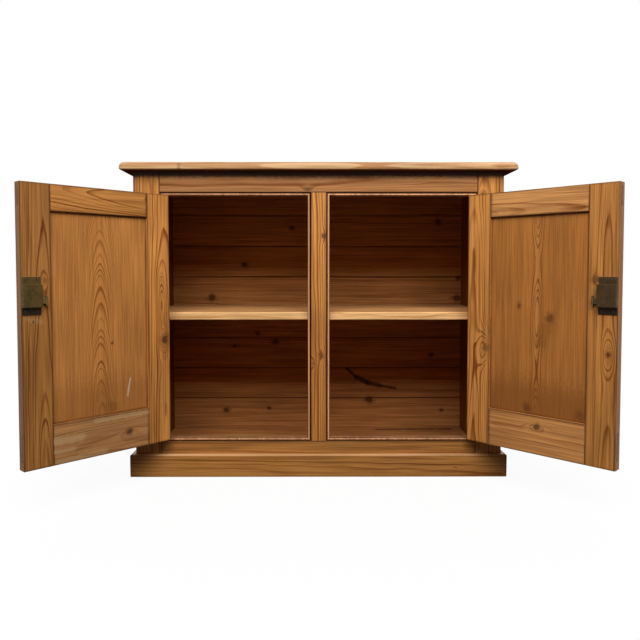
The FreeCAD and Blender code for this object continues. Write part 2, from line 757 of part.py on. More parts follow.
def make_door(side, word, on_hinges, on_lock):
    """Two stiles, two through-tenoned rails and a flat panel held in a groove."""
    tenons = {}
    for rail, low, height in (
            ("top", TOP_RAIL_BOTTOM + size.groove_depth,
             size.door_top_rail_height - size.groove_depth - size.top_tenon_haunch),
            ("bottom", DOOR_BOTTOM + size.bottom_tenon_haunch,
             size.door_bottom_rail_height - size.groove_depth - size.bottom_tenon_haunch)):
        tenons[rail] = door_block(side, f"{word}_{rail}_tenons", DOOR_EDGE, PANEL_FRONT, low,
                                  DOOR_WIDTH, size.panel_thickness, height)
    groove = door_block(side, f"{word}_panel_groove", GROOVE_START, PANEL_FRONT, GROOVE_BOTTOM,
                        GROOVE_LENGTH, size.panel_thickness, GROOVE_HEIGHT)

    seats = [leaf_seat(side, f"{word}_{level}_door_seat", DOOR_LEAF_U, low) for level, low in HINGES]
    hinge_stile = door_block(side, f"{word}_hinge_stile_upright", DOOR_EDGE, DOOR_FRONT, DOOR_BOTTOM,
                             size.hinge_stile_width, size.door_thickness, DOOR_HEIGHT)
    hinge_stile = less(f"{word}_hinge_stile_cut", hinge_stile, *tenons.values(), groove, *seats, *on_hinges)
    node(f"{word}_door_hinge_stile", hung(side, f"{word}_hinge_stile_hung", hinge_stile))

    lock_stile = door_block(side, f"{word}_lock_stile_upright", RAIL_START + RAIL_LENGTH, DOOR_FRONT,
                            DOOR_BOTTOM, size.lock_stile_width, size.door_thickness, DOOR_HEIGHT)
    lock_stile = less(f"{word}_lock_stile_cut", lock_stile, *tenons.values(), groove,
                      spindle_hole(side, f"{word}_stile"), *on_lock)
    node(f"{word}_door_lock_stile", hung(side, f"{word}_lock_stile_hung", lock_stile))

    for rail, low, height in (("top", TOP_RAIL_BOTTOM, size.door_top_rail_height),
                              ("bottom", DOOR_BOTTOM, size.door_bottom_rail_height)):
        body = door_block(side, f"{word}_{rail}_rail_plank", RAIL_START, DOOR_FRONT, low,
                          RAIL_LENGTH, size.door_thickness, height)
        solid = less(f"{word}_{rail}_rail_cut", joined(f"{word}_{rail}_rail_solid", body, tenons[rail]),
                     groove)
        node(f"{word}_door_{rail}_rail", hung(side, f"{word}_{rail}_rail_hung", solid))

    slack = size.panel_clearance
    panel = door_block(side, f"{word}_panel_board", GROOVE_START + slack, PANEL_FRONT, GROOVE_BOTTOM + slack,
                       GROOVE_LENGTH - 2 * slack, size.panel_thickness, GROOVE_HEIGHT - 2 * slack)
    node(f"{word}_door_panel", hung(side, f"{word}_panel_hung", panel))


# ---------------------------------------------------------------- rim latches and knobs

def spindle_hole(side, name):
    """A running hole for the spindle through everything between the rose and the case."""
    start = ROSE_FACE - CUT_MARGIN
    return rod(name + "_spindle_hole", -side * SPINDLE_U, start, SPINDLE_Z,
               size.spindle_radius + size.spindle_clearance, PLATE_FACE + CUT_MARGIN - start, "+y")


def lock_screws(side, word):
    """Four screws, two in each flange of the lock plate."""
    flange = (size.lock_plate_height - size.case_height) / 2
    plate_top = size.lock_plate_bottom + size.lock_plate_height
    made = []
    for level, z in (("low", size.lock_plate_bottom + flange / 2), ("high", plate_top - flange / 2)):
        for edge, u in (("hinge", LOCK_START + size.lock_screw_inset),
                        ("latch", LOCK_END - size.lock_screw_inset)):
            made.append(screw(f"{word}_lock_screw_{level}_{edge}", -side * u, PLATE_FACE, z, "-y"))
    return made


def make_lock_case(side, word):
    """A pressed case, open towards the plate and slotted at both sides for the bolt."""
    shell = door_block(side, f"{word}_case_shell", LOCK_START, PLATE_FACE, CASE_BOTTOM,
                       size.lock_width, size.case_depth, size.case_height)
    low_x = low_corner(side, LOCK_START, size.lock_width)
    case_top = CASE_BOTTOM + size.case_height

    def radius_for(edge):
        at_side = lies_at(edge, "x", low_x) or lies_at(edge, "x", low_x + size.lock_width)
        at_end = lies_at(edge, "z", CASE_BOTTOM) or lies_at(edge, "z", case_top)
        return size.case_round if lies_at(edge, "y", CASE_FACE) or (at_side and at_end) else None

    pressed = rounded(f"{word}_case_rounded", shell, radius_for)
    hollow = door_block(side, f"{word}_case_hollow", LOCK_START + size.case_wall, PLATE_FACE - CUT_MARGIN,
                        CASE_BOTTOM + size.case_wall, size.lock_width - 2 * size.case_wall,
                        size.case_depth - size.case_wall + CUT_MARGIN,
                        size.case_height - 2 * size.case_wall)
    slot = door_block(side, f"{word}_bolt_slot", LOCK_START - CUT_MARGIN, PLATE_FACE - CUT_MARGIN,
                      BOLT_BOTTOM - size.bolt_clearance, size.lock_width + 2 * CUT_MARGIN,
                      size.bolt_thickness + 2 * size.bolt_clearance + CUT_MARGIN,
                      size.bolt_height + 2 * size.bolt_clearance)
    node(f"{word}_lock_case", hung(side, f"{word}_lock_case_hung",
                                   less(f"{word}_lock_case_cut", pressed, hollow, slot)))


def make_bolt(side, word):
    """A flat sliding bolt with a finger plate on its tail and a notch for the cam."""
    bar = door_block(side, f"{word}_bolt_bar", BOLT_TAIL_END, BOLT_Y, BOLT_BOTTOM,
                     LOCK_END - size.bolt_clearance - BOLT_TAIL_END, size.bolt_thickness, size.bolt_height)
    finger = door_block(side, f"{word}_bolt_finger", BOLT_TAIL_END - size.finger_thickness, BOLT_Y,
                        BOLT_BOTTOM + (size.bolt_height - size.finger_height) / 2,
                        size.finger_thickness, size.finger_depth, size.finger_height)
    tip_u = SPINDLE_U - size.cam_length * sine(size.cam_rest_angle)
    notch = door_block(side, f"{word}_bolt_notch", tip_u - size.notch_width / 2, BOLT_Y - CUT_MARGIN,
                       BOLT_TOP - size.notch_depth, size.notch_width,
                       size.bolt_thickness + 2 * CUT_MARGIN, size.notch_depth + CUT_MARGIN)
    solid = less(f"{word}_bolt_cut", joined(f"{word}_bolt_solid", bar, finger), notch)
    node(f"{word}_lock_bolt", hung(side, f"{word}_lock_bolt_hung", solid))


def make_latch(side, word, screws):
    """Plate, case and sliding bolt on the inside of the lock stile."""
    node(f"{word}_lock_screws", hung(side, f"{word}_lock_screws_hung", *screws))
    plate = door_block(side, f"{word}_lock_plate_sheet", LOCK_START, DOOR_BACK, size.lock_plate_bottom,
                       size.lock_width, size.lock_plate_thickness, size.lock_plate_height)
    plate = less(f"{word}_lock_plate_cut", plate, spindle_hole(side, f"{word}_plate"), *screws)
    node(f"{word}_lock_plate", hung(side, f"{word}_lock_plate_hung", plate))
    make_lock_case(side, word)
    make_bolt(side, word)


def make_spindle(side, word):
    """The spindle with its hub and the cam that works in the bolt's notch."""
    start = KNOB_BASE - size.knob_bore_depth
    end = CASE_FACE - size.case_wall - size.bolt_clearance
    shaft = rod(f"{word}_spindle_rod", 0, start, 0, size.spindle_radius, end - start, "+y")
    hub = rod(f"{word}_spindle_hub", 0, BOLT_Y, 0, size.hub_radius, size.cam_thickness, "+y")
    arm = block(f"{word}_spindle_arm", -size.cam_width / 2, BOLT_Y, -size.cam_length,
                size.cam_width, size.cam_thickness, size.cam_length)
    tip = rod(f"{word}_spindle_tip", 0, BOLT_Y, -size.cam_length, size.cam_tip_radius,
              size.cam_thickness, "+y")
    spindle = joined(f"{word}_spindle_solid", shaft, hub, arm, tip)
    turn(spindle, (0, 1, 0), -side * size.cam_rest_angle)
    place(spindle, -side * SPINDLE_U, 0, SPINDLE_Z)
    node(f"{word}_spindle", hung(side, f"{word}_spindle_hung", spindle))


def make_knob(side, word):
    """A turned knob on a rose, on the outer face of the door."""
    disc = rod(f"{word}_rose_disc", -side * SPINDLE_U, DOOR_FRONT, SPINDLE_Z,
               size.rose_radius, size.rose_thickness, "-y")

    def radius_for(edge):
        return size.rose_round if len(edge.Vertexes) == 1 and lies_at(edge, "y", ROSE_FACE) else None

    rose = less(f"{word}_rose_cut", rounded(f"{word}_rose_rounded", disc, radius_for),
                spindle_hole(side, f"{word}_rose"))
    node(f"{word}_knob_rose", hung(side, f"{word}_rose_hung", rose))

    neck = taper(f"{word}_knob_neck", -side * SPINDLE_U, KNOB_BASE, SPINDLE_Z,
                 size.knob_base_radius, size.knob_neck_radius, size.knob_neck_length, "-y")
    head = pointed(DOC.addObject("Part::Ellipsoid", f"{word}_knob_head"), "-y")
    bind(head, "Radius1", size.knob_head_depth)
    bind(head, "Radius2", size.knob_head_radius)
    place(head, -side * SPINDLE_U, KNOB_BASE - size.knob_neck_length - size.knob_head_depth / 2, SPINDLE_Z)
    bore = rod(f"{word}_knob_bore", -side * SPINDLE_U, KNOB_BASE + CUT_MARGIN, SPINDLE_Z,
               size.spindle_radius, size.knob_bore_depth + CUT_MARGIN, "-y")
    knob = less(f"{word}_knob_cut", joined(f"{word}_knob_solid", neck, head), bore)
    node(f"{word}_knob", hung(side, f"{word}_knob_hung", knob))


# ---------------------------------------------------------------- build, check and export

def make_carcass(screws):
    """Everything that stands still."""
    nails = {(side, index): board_nails(side, word, index)
             for side, word in SIDES for index in range(BACK_BOARDS)}
    for side, word in SIDES:
        make_side(side, word, every({index: nails[side, index] for index in range(BACK_BOARDS)}))
    make_back(nails)
    make_top()
    make_floor_and_shelf()
    make_face_frame(screws)
    make_plinth()
    make_beads(screws)
    node("frame_hinge_screws", grouped("frame_screws_group", screws[LEFT].on_frame, screws[RIGHT].on_frame))


def make_hanging_parts(side, word, screws):
    """One door with its hinges, its latch and its knob."""
    on_lock = lock_screws(side, word)
    make_hinges(side, word, screws)
    make_door(side, word, every(screws.door), on_lock)
    make_latch(side, word, on_lock)
    make_spindle(side, word)
    make_knob(side, word)


def check_and_export():
    """Stops on anything that failed, then writes one STEP file to a node."""
    DOC.recompute()
    for thing in DOC.Objects:
        if "Invalid" in thing.State or "Error" in thing.State:
            raise RuntimeError(f"{thing.Name} failed: {thing.State}")
    for thing in NODES:
        shape = thing.Shape
        if shape.isNull() or not shape.isValid() or not shape.Solids:
            raise RuntimeError(f"{thing.Label} has no valid solid")
    os.makedirs("parts", exist_ok=True)
    for thing in NODES:
        thing.Shape.exportStep(os.path.join("parts", thing.Label + ".step"))
        print(f"{thing.Label}: {len(thing.Shape.Solids)} solid(s), {thing.Shape.Volume / 1000:.2f} cm3")
    print(len(NODES), "nodes")


all_screws = {side: hinge_screws(side, word) for side, word in SIDES}
make_carcass(all_screws)
for door_side, door_word in SIDES:
    make_hanging_parts(door_side, door_word, all_screws[door_side])
check_and_export()
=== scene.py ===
# %% [markdown]
# # A low pine cupboard with its doors open
# This lesson dresses a packed cupboard: the carcass, the doors and the brass all come from the frame,
# and every piece here stands where the frame says. The wood could be painted on flat boxes, but old pine
# shows how it was sawn, so each board gets eased edges and a figure cut out of its own log.

# %% Load the frame
import contextlib
import json
import math
from functools import partialmethod

import bmesh
import bpy
import numpy
from mathutils import Matrix, Vector

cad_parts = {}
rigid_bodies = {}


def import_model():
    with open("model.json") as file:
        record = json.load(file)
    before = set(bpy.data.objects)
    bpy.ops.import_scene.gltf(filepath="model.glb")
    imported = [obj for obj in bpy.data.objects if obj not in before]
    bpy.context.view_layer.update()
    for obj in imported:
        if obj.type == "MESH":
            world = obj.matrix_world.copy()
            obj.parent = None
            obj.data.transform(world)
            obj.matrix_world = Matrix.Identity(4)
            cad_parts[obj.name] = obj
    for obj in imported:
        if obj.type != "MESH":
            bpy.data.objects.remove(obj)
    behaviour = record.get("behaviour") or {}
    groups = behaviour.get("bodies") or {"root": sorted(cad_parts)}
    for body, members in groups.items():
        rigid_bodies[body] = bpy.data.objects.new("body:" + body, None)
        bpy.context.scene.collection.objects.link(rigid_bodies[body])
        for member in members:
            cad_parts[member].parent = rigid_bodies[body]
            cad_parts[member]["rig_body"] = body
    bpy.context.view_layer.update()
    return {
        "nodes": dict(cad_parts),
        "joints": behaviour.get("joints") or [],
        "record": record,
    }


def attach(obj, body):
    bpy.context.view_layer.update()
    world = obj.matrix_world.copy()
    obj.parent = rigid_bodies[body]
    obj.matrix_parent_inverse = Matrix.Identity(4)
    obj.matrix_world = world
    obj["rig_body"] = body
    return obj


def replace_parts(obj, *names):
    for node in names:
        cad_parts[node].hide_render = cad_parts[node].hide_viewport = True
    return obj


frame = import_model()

NODES = frame["nodes"]
SLOTS = {part["node"]: part["material_slot"] for part in frame["record"]["subparts"]}
WORDS = ("left", "right")
X, Y, Z = Vector((1, 0, 0)), Vector((0, 1, 0)), Vector((0, 0, 1))
MM = 0.001

# %% [markdown]
# ## Where the viewer stands
# Furniture is best seen from chest height, a little under two metres away, so that the top is seen edge on
# and the shelf just from above. A small shift of the lens frames the cupboard without tilting it.

# %% Camera
TILT_DOWN, TURN_RIGHT = 2.367, 0.236
lens = bpy.data.cameras.new("viewpoint")
lens.lens, lens.sensor_width = 35.741, 36.0
lens.shift_x, lens.shift_y = 0.0096, -0.0373
camera = bpy.data.objects.new("viewpoint", lens)
camera.location = (-0.020157, -1.723492, 0.56447)
camera.rotation_euler = (math.radians(90 - TILT_DOWN), 0, math.radians(-TURN_RIGHT))
bpy.context.scene.collection.objects.link(camera)
bpy.context.scene.camera = camera
print("camera at", tuple(camera.location))

# %% [markdown]
# ## Wires and sums
# Node trees are built in code throughout. One helper adds a node and hands back its outputs as wires, and a
# sum written with wires adds the Math nodes that do it. With these a tree reads like what it works out.


# %% Wires
class Wire:
    """An output of a node. A sign or a function used on it adds one Math node, as in far.sine() * 2."""

    def __init__(self, socket):
        self.socket, self.tree = socket, socket.id_data

    def math(self, operation, *others, clamp=False):
        """One Math node, with this wire as its first number."""
        numbers = dict(enumerate((self, *others)))
        return add(self.tree, "ShaderNodeMath", numbers, operation=operation, use_clamp=clamp)[0]

    def __getattr__(self, name):
        return lambda *others: self.math(name.upper(), *others)

    __add__ = partialmethod(math, "ADD")
    __sub__ = partialmethod(math, "SUBTRACT")
    __mul__ = partialmethod(math, "MULTIPLY")
    __truediv__ = partialmethod(math, "DIVIDE")


class Wires:
    """All outputs of a node, by name or by number."""

    def __init__(self, outputs):
        self.outputs = outputs

    def __getitem__(self, key):
        return Wire(self.outputs[key])


def feed(node, feeds):
    """Gives a node's sockets their values or wires."""
    for key, value in feeds.items():
        if isinstance(value, Wire):
            node.id_data.links.new(value.socket, node.inputs[key])
        else:
            node.inputs[key].default_value = value


def add(tree, kind, feeds=None, **settings):
    """Adds one node: settings are its options, feeds are values or wires for its sockets."""
    made = tree.nodes.new(kind)
    for name, value in settings.items():
        setattr(made, name, value)
    feed(made, feeds or {})
    return Wires(made.outputs)


# %% Node helpers
def vectors(operation, first, *others, out=0, **named):
    """One sum on vectors."""
    feeds = dict(enumerate((first, *others))) | named
    return add(first.tree, "ShaderNodeVectorMath", feeds, operation=operation)[out]


def split(vector):
    """The three numbers of a vector."""
    return add(vector.tree, "ShaderNodeSeparateXYZ", {0: vector})


def point(tree, **numbers):
    """A vector of the numbers named X, Y and Z."""
    return add(tree, "ShaderNodeCombineXYZ", numbers)[0]


def step(value, low, high, to_low=0.0, to_high=1.0):
    """A smooth step of a value from one range to another."""
    feeds = {"Value": value, "From Min": low, "From Max": high, "To Min": to_low, "To Max": to_high}
    return add(value.tree, "ShaderNodeMapRange", feeds, interpolation_type="SMOOTHSTEP")["Result"]


def noise(vector, fineness, detail=2.0, roughness=0.5, out="Fac"):
    """Smooth noise, with its own fineness along each axis."""
    feeds = {"Vector": vectors("MULTIPLY", vector, fineness), "Scale": 1.0, "Detail": detail,
             "Roughness": roughness}
    return add(vector.tree, "ShaderNodeTexNoise", feeds)[out]


def blend(share, first, second):
    """Mixes two colours."""
    return add(share.tree, "ShaderNodeMix", {0: share, 6: first, 7: second}, data_type="RGBA")[2]


def attribute(tree, name):
    """A number that the mesh carries."""
    return add(tree, "ShaderNodeAttribute", attribute_name=name)["Fac"]


def new_group(kind, name, inputs, outputs):
    """An empty node group: its tree, the wires that come in and the node for what goes out. An input is
    given by its default value, or by its kind where it has none."""
    tree = bpy.data.node_groups.new(name, kind)
    for label, value in inputs.items():
        sort = value if isinstance(value, str) else "Int" if isinstance(value, int) else "Float"
        socket = tree.interface.new_socket(label, in_out="INPUT", socket_type="NodeSocket" + sort)
        if value != sort:
            socket.default_value = value
    for label, sort in outputs.items():
        tree.interface.new_socket(label, in_out="OUTPUT", socket_type="NodeSocket" + sort)
    return tree, add(tree, "NodeGroupInput"), tree.nodes.new("NodeGroupOutput")


def use_group(tree, group, **feeds):
    """Places a shader group and feeds it; an underscore in a name stands for a space."""
    named = {key.replace("_", " "): value for key, value in feeds.items()}
    return add(tree, "ShaderNodeGroup", named, node_tree=group)


# %% [markdown]
# ## A knot
# A knot is a branch that the board was sawn through: a dark disc with rings of its own and a darker skin,
# in wood that is stained by resin. The trunk's rings flow round it like water round a post and swell out
# along the branch, which a board shows as ovals. So the group gives a mask that darkens the wood, a "bow"
# that pushes the grain aside and a "lift" that swells it.

# %% Shader group: knot
LONGER_ALONG = 0.8
RING_RATE, RING_SHADE, HEART_SHADE = 13.0, 0.14, 0.78
PUSH = -0.7
knot, given, gives = new_group(
    "ShaderNodeTree", "knot",
    {"Vector": "Vector", "Place": "Vector", "Radius": 0.006, "Strength": 1.0, "Tall": 0.03, "Wide": 0.015,
     "Rise": 0.008, "Bow": 0.0, "Lift": 0.0, "Mask": 0.0},
    {"Bow": "Float", "Lift": "Float", "Mask": "Float"})
offset = split(vectors("SUBTRACT", given["Vector"], given["Place"]))
along, across = offset[0] / given["Radius"] * LONGER_ALONG, offset[1] / given["Radius"]
ragged = step(noise(given["Vector"], (70, 70, 20), detail=1.0), 0.2, 0.8, 0.75, 1.3)
far = (along * along + across * across).sqrt() * ragged
heart = step(far, 0.75, 1.05, 1.0, 0.0) * ((far * RING_RATE).sine() * RING_SHADE + HEART_SHADE)
skin = step((far - 0.98).absolute(), 0.0, 0.3, 1.0, 0.0)
glow = step(far, 0.9, 2.8, 0.45, 0.0)
dark = heart.maximum(skin).maximum(glow) * given["Strength"]
tall, wide = offset[0] / given["Tall"], offset[1] / given["Wide"]
nearby = ((tall * tall + wide * wide) * -1.0).exponent()
side = across / (across * across + 0.4).sqrt()
feed(gives, {"Mask": dark.maximum(given["Mask"]), "Lift": nearby * given["Rise"] + given["Lift"],
             "Bow": side * nearby * given["Radius"] * PUSH + given["Bow"]})
print("knot group:", len(knot.nodes), "nodes")

# %% [markdown]
# ## A scratch or a stain
# Old furniture has scars. Each is a short line across a board, a little ragged, and the material paints it
# light or dark. A painted image would do too, but a distance to a line is sharp at any size.

# %% Shader group: scar
scar, given, gives = new_group(
    "ShaderNodeTree", "scar",
    {"Vector": "Vector", "Start": "Vector", "End": "Vector", "Width": 0.002, "Strength": 1.0, "Ragged": 1.0},
    {"Mask": "Float"})
reach = vectors("SUBTRACT", vectors("MULTIPLY", given["Vector"], (1, 1, 0)), given["Start"])
length = vectors("SUBTRACT", given["End"], given["Start"])
share = vectors("DOT_PRODUCT", reach, length, out=1).math(
    "DIVIDE", vectors("DOT_PRODUCT", length, length, out=1), clamp=True)
away = vectors("LENGTH", vectors("SUBTRACT", reach, vectors("SCALE", length, Scale=share)), out=1)
uneven = step(noise(given["Vector"], (110, 260, 40), detail=3.0), 0.35, 0.65, -0.65, 0.25)
away = away / (given["Width"] * (uneven * given["Ragged"] + 1.0))
feed(gives, {"Mask": step(away, 0.3, 1.0, 1.0, 0.0) * given["Strength"]})
print("scar group:", len(scar.nodes), "nodes")

# %% [markdown]
# ## Old pine
# A board is a slice of a log. The rings of the log are tubes round the pith, so the figure on any face is
# how far that point lies from the pith: where the face runs along the pith it shows stripes, and where it
# leans it shows the pointed arches called cathedrals. Each tube is pale spring wood that darkens to a thin
# line of autumn wood and then stops short. This solid way was chosen over a flat image of grain, because
# all faces of a board then agree, ends included.

# %% Shader group: old pine
DRIFT, FIBRE, STREAK, CLOUD, PORE = (3.6, 11, 11), (7, 340, 340), (3.5, 95, 95), (4, 13, 13), (160, 420, 420)
PORE_BROWN = (0.05, 0.022, 0.008, 1)
EDGE_DIRT_AND_SHADE_BROWN = (0.06, 0.020, 0.005, 1)
END_BROWN = (0.10, 0.05, 0.022, 1)
UNEVEN_YEARS = 3.5
pine, given, gives = new_group(
    "ShaderNodeTree", "old pine",
    {"Vector": "Vector", "Seed": 0.0, "Ring": 0.003, "Pith Depth": 0.04, "Pith Side": 0.0, "Lean": 0.02,
     "Swell": 0.0, "Swell Rate": 12.0, "Wander": 0.006, "Figure": 0.7, "Band": 1.0, "Half Width": 0.03,
     "Half Length": 0.3, "Bow": 0.0, "Lift": 0.0, "Knots": 0.0, "Arris": 0.0, "End Grain": 0.0, "Flat": 1.0,
     "Streaks": 1.0, "Light Wood": "Color", "Dark Wood": "Color", "Knot Wood": "Color",
     "Arris Wood": "Color"},
    {"Color": "Color", "Roughness": "Float", "Height": "Float"})
seed = given["Seed"]
cut = vectors("ADD", given["Vector"], point(pine, X=seed * 1.37, Y=seed * 0.71, Z=seed * 2.13))
drift = split(noise(cut, DRIFT, detail=2.5, out="Color"))
at = split(given["Vector"])


def wandering(coordinate, channel):
    """A board coordinate moved by the slow drift of the grain."""
    return (channel - 0.5) * given["Wander"] * 2.0 + coordinate


wide = wandering(at[1] + given["Bow"], drift[0]) - given["Pith Side"]
deep = wandering(at[2], drift[1]) + given["Pith Depth"] + at[0] * given["Lean"]
deep = (at[0] * given["Swell Rate"]).cosine() * given["Swell"] + deep - given["Lift"]
years = (wide * wide + deep * deep).sqrt() / given["Ring"]
uneven = add(pine, "ShaderNodeTexNoise", {"W": years * 0.23 + seed, "Scale": 1.0, "Detail": 2.0},
             noise_dimensions="1D")["Fac"]
years = uneven * UNEVEN_YEARS + years
season = years.fract()
vintage = add(pine, "ShaderNodeTexWhiteNoise", {"W": years.floor() + seed}, noise_dimensions="1D")["Value"]
autumn = step(season, 0.5, 0.88) * step(season, 0.9, 1.0, 1.0, 0.0) * step(vintage, 0.0, 0.9, 0.4, 1.0)
autumn = autumn * step(wide.absolute() / given["Band"], 0.7, 1.5, 1.0, 0.3)
fibre, streak = noise(cut, FIBRE, detail=4.0), noise(cut, STREAK)
cloud, speck = noise(cut, CLOUD, detail=3.0), noise(cut, PORE)

# %% [markdown]
# Over the rings lie, in turn, the knots, the open pores, a dark band along the edges that is partly the dirt
# that hands leave and partly painted shade where boards meet, end grain that drank the wax and went dark,
# and a colour of its own for the eased corners: pale where they are worn, dark with dirt on others, and on
# some boards pale as a painted highlight.

# %% Shader group: old pine, colours
darker = step(streak, 0.3, 0.72, -0.15, 0.38) * given["Streaks"] + autumn * given["Figure"]
tone = blend(darker.minimum(1.0).maximum(0.0), given["Light Wood"], given["Dark Wood"])
shade = step(cloud, 0.25, 0.75, 0.85, 1.13) + step(fibre, 0.3, 0.7, -0.17, 0.17)
tone = blend(given["Knots"], vectors("SCALE", tone, Scale=shade), given["Knot Wood"])
pores = step(speck, 0.66, 0.74) * 0.3
tone = blend(pores, tone, PORE_BROWN)
# a dark band along the seen faces' edges: partly dirt, partly painted shade where the boards meet
past_edge = (at[1].absolute() - given["Half Width"]).maximum(at[0].absolute() - given["Half Length"])
grime = step(past_edge, -0.006, 0.0005) * step(cloud, 0.35, 0.7, 0.4, 0.9) * given["Flat"]
tone = blend(grime, tone, EDGE_DIRT_AND_SHADE_BROWN)
tone = blend(given["End Grain"] * 0.62, tone, END_BROWN)
tone = blend(given["Arris"] * step(cloud, 0.3, 0.65, 0.4, 0.85), tone, given["Arris Wood"])
feed(gives, {"Color": tone, "Roughness": grime * 0.2 + cloud * 0.22 + 0.36,
             "Height": autumn * 0.5 + fibre * 0.35 + pores * -1.6 + cloud * 1.4})
print("old pine group:", len(pine.nodes), "nodes")

# %% [markdown]
# ## How a board lies
# A pattern has to know which way the board runs. Each board gets a space of its own: x along the grain,
# z out of the face that is seen, and the origin in its middle. A Mapping node then carries the frame's
# coordinates into that space, also for a door that stands open at an angle.


# %% Board space
def board_space(node, grain, face):
    """The matrix of a board's own space, and its half sizes along that space's axes."""
    turn = Matrix((grain, face.cross(grain), face)).transposed()
    points = numpy.empty(len(NODES[node].data.vertices) * 3)
    NODES[node].data.vertices.foreach_get("co", points)
    local = points.reshape(-1, 3) @ numpy.array(turn)
    low, high = Vector(local.min(0)), Vector(local.max(0))
    return Matrix.Translation(turn @ ((low + high) / 2)) @ turn.to_4x4(), (high - low) / 2


# %% [markdown]
# The doors stand open. A door's joint tells how it got there from a shut door: its axis, and how far the
# door can still turn before it is shut.

# %% Door space
DOORS = {}
for word, side in zip(WORDS, (-1, 1)):
    joint = next(joint for joint in frame["joints"] if joint["name"] == word + "_door_hinge")
    angle = -side * math.radians(joint["range_deg"][0])
    hinge = Vector(joint["pos_m"]) * Vector((1, 1, 0))
    DOORS[word] = Matrix.Translation(hinge) @ Matrix.Rotation(angle, 4, "Z")
    print(word, "door stands open by", round(abs(math.degrees(angle)), 2), "degrees")

# %% [markdown]
# ## Planing a board
# A CAD board has knife edges, and no old board does. Each is copied, its doubled points are merged, flat
# triangles are joined, and every long outer edge is eased by about a millimetre. The eased faces carry a
# mask named "arris", so that the material can paint them: worn by hands and cloths, dark with dirt, and on
# some boards pale as a painted highlight.

# %% Eased copies
SAME_POINT = 0.002 * MM
SAME_PLANE = math.radians(0.8)
CREASE = math.radians(36)


@contextlib.contextmanager
def editing(mesh, into=None):
    """Opens a mesh for editing, and then writes it back or into another mesh."""
    work = bmesh.new()
    work.from_mesh(mesh)
    yield work
    work.to_mesh(into or mesh)
    work.free()


def islands(work):
    """The separate shells of an open mesh, as lists of faces."""
    seen, shells = set(), []
    for start in work.faces:
        if start in seen:
            continue
        seen.add(start)
        shell, todo = [], [start]
        while todo:
            face = todo.pop()
            shell.append(face)
            for edge in face.edges:
                fresh = [other for other in edge.link_faces if other not in seen]
                seen.update(fresh)
                todo.extend(fresh)
        shells.append(shell)
    return shells


def eased(node, arris=1.1, shortest=12.0, sharpest=38.0):
    """A copy of a CAD node's mesh with its long outer edges rounded, sizes in millimetres."""
    mesh = bpy.data.meshes.new(node + "_eased")
    with editing(NODES[node].data, mesh) as work:
        bmesh.ops.remove_doubles(work, verts=work.verts, dist=SAME_POINT)
        bmesh.ops.dissolve_limit(work, angle_limit=SAME_PLANE, verts=work.verts, edges=work.edges)
        mask = work.faces.layers.float.new("arris")
        sharp = [edge for edge in work.edges if edge.is_manifold and edge.is_convex
                 and edge.calc_face_angle(0) > math.radians(sharpest) and edge.calc_length() > shortest * MM]
        made = bmesh.ops.bevel(work, geom=sharp, offset=arris * MM, segments=2, profile=0.55,
                               affect="EDGES", clamp_overlap=False)
        for face in work.faces:
            face.smooth = True
        for face in made["faces"]:
            face[mask] = 1.0
    mesh.set_sharp_from_angle(angle=CREASE)
    return mesh


def settled(piece):
    """What a piece's modifiers make of it, as a plain mesh."""
    return bpy.data.meshes.new_from_object(piece.evaluated_get(bpy.context.evaluated_depsgraph_get()))


def finished(name, mesh, *nodes):
    """An object of a finished mesh, which rides with its nodes and stands for them."""
    piece = bpy.data.objects.new(name, mesh)
    bpy.context.scene.collection.objects.link(piece)
    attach(piece, NODES[nodes[0]]["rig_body"])
    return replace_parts(piece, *nodes)


def clad(piece, *materials):
    """Gives a piece its materials."""
    piece.data.materials.clear()
    for material in materials:
        piece.data.materials.append(material)


def with_even_shading(piece):
    """Keeps flat faces flat beside rounded edges, as a finished mesh."""
    piece.modifiers.new("even shading", "WEIGHTED_NORMAL").keep_sharp = True
    mesh = settled(piece)
    piece.modifiers.clear()
    piece.data = mesh
    return piece


# %% [markdown]
# ## One board, one material
# Every board came from another part of the log, so each has its own material: the same groups, with a
# ring width, pith, knots and scars of its own, in millimetres.

# %% Board material
HONEY = (0.58, 0.245, 0.060, 1)
AMBER = (0.19, 0.048, 0.004, 1)
RUSSET = (0.50, 0.215, 0.070, 1)
UMBER = (0.22, 0.070, 0.013, 1)
KNOT_BROWN = (0.045, 0.011, 0.003, 1)
PUTTY = (0.80, 0.62, 0.38, 1)
CHALK = (0.62, 0.42, 0.22, 1)
# near black: soot and dirt in marks, and painted shade in the bead's quirk
SOOT_AND_SHADE_BLACK = (0.035, 0.012, 0.005, 1)
# near black, for the painted shadow under the top board's overhang
OVERHANG_SHADOW_BLACK = (0.014, 0.002, 0.0005, 1)
# a dark brown laid over broad parts of a board to make them darker
DARKENING_BROWN = (0.20, 0.062, 0.012, 1)
# pale: worn edges, and a painted highlight on the plinth's upper faces and the beads' edges
WORN_AND_HIGHLIGHT_PALE = (0.66, 0.37, 0.17, 1)
# dark brown: dirt on worn edges, and painted shade in the bead's quirk
GRIME_AND_SHADE_BROWN = (0.085, 0.030, 0.008, 1)
RAW_AND_SHADE_RED = (0.46, 0.135, 0.028, 1)
RAW = {"light": RUSSET, "dark": UMBER, "polish": 0.03}
APART_IN_LOG = 3.7


def toned(colour, amount):
    """A colour made lighter or darker."""
    return (*(min(channel * amount, 1.0) for channel in colour[:3]), 1)


def new_material(name):
    """A fresh material, its tree, the wires that tell where a point lies, and the mask of its eased faces."""
    material = bpy.data.materials.new(name)
    material.use_nodes = True
    tree = material.node_tree
    return material, tree, add(tree, "ShaderNodeTexCoord"), attribute(tree, "arris")


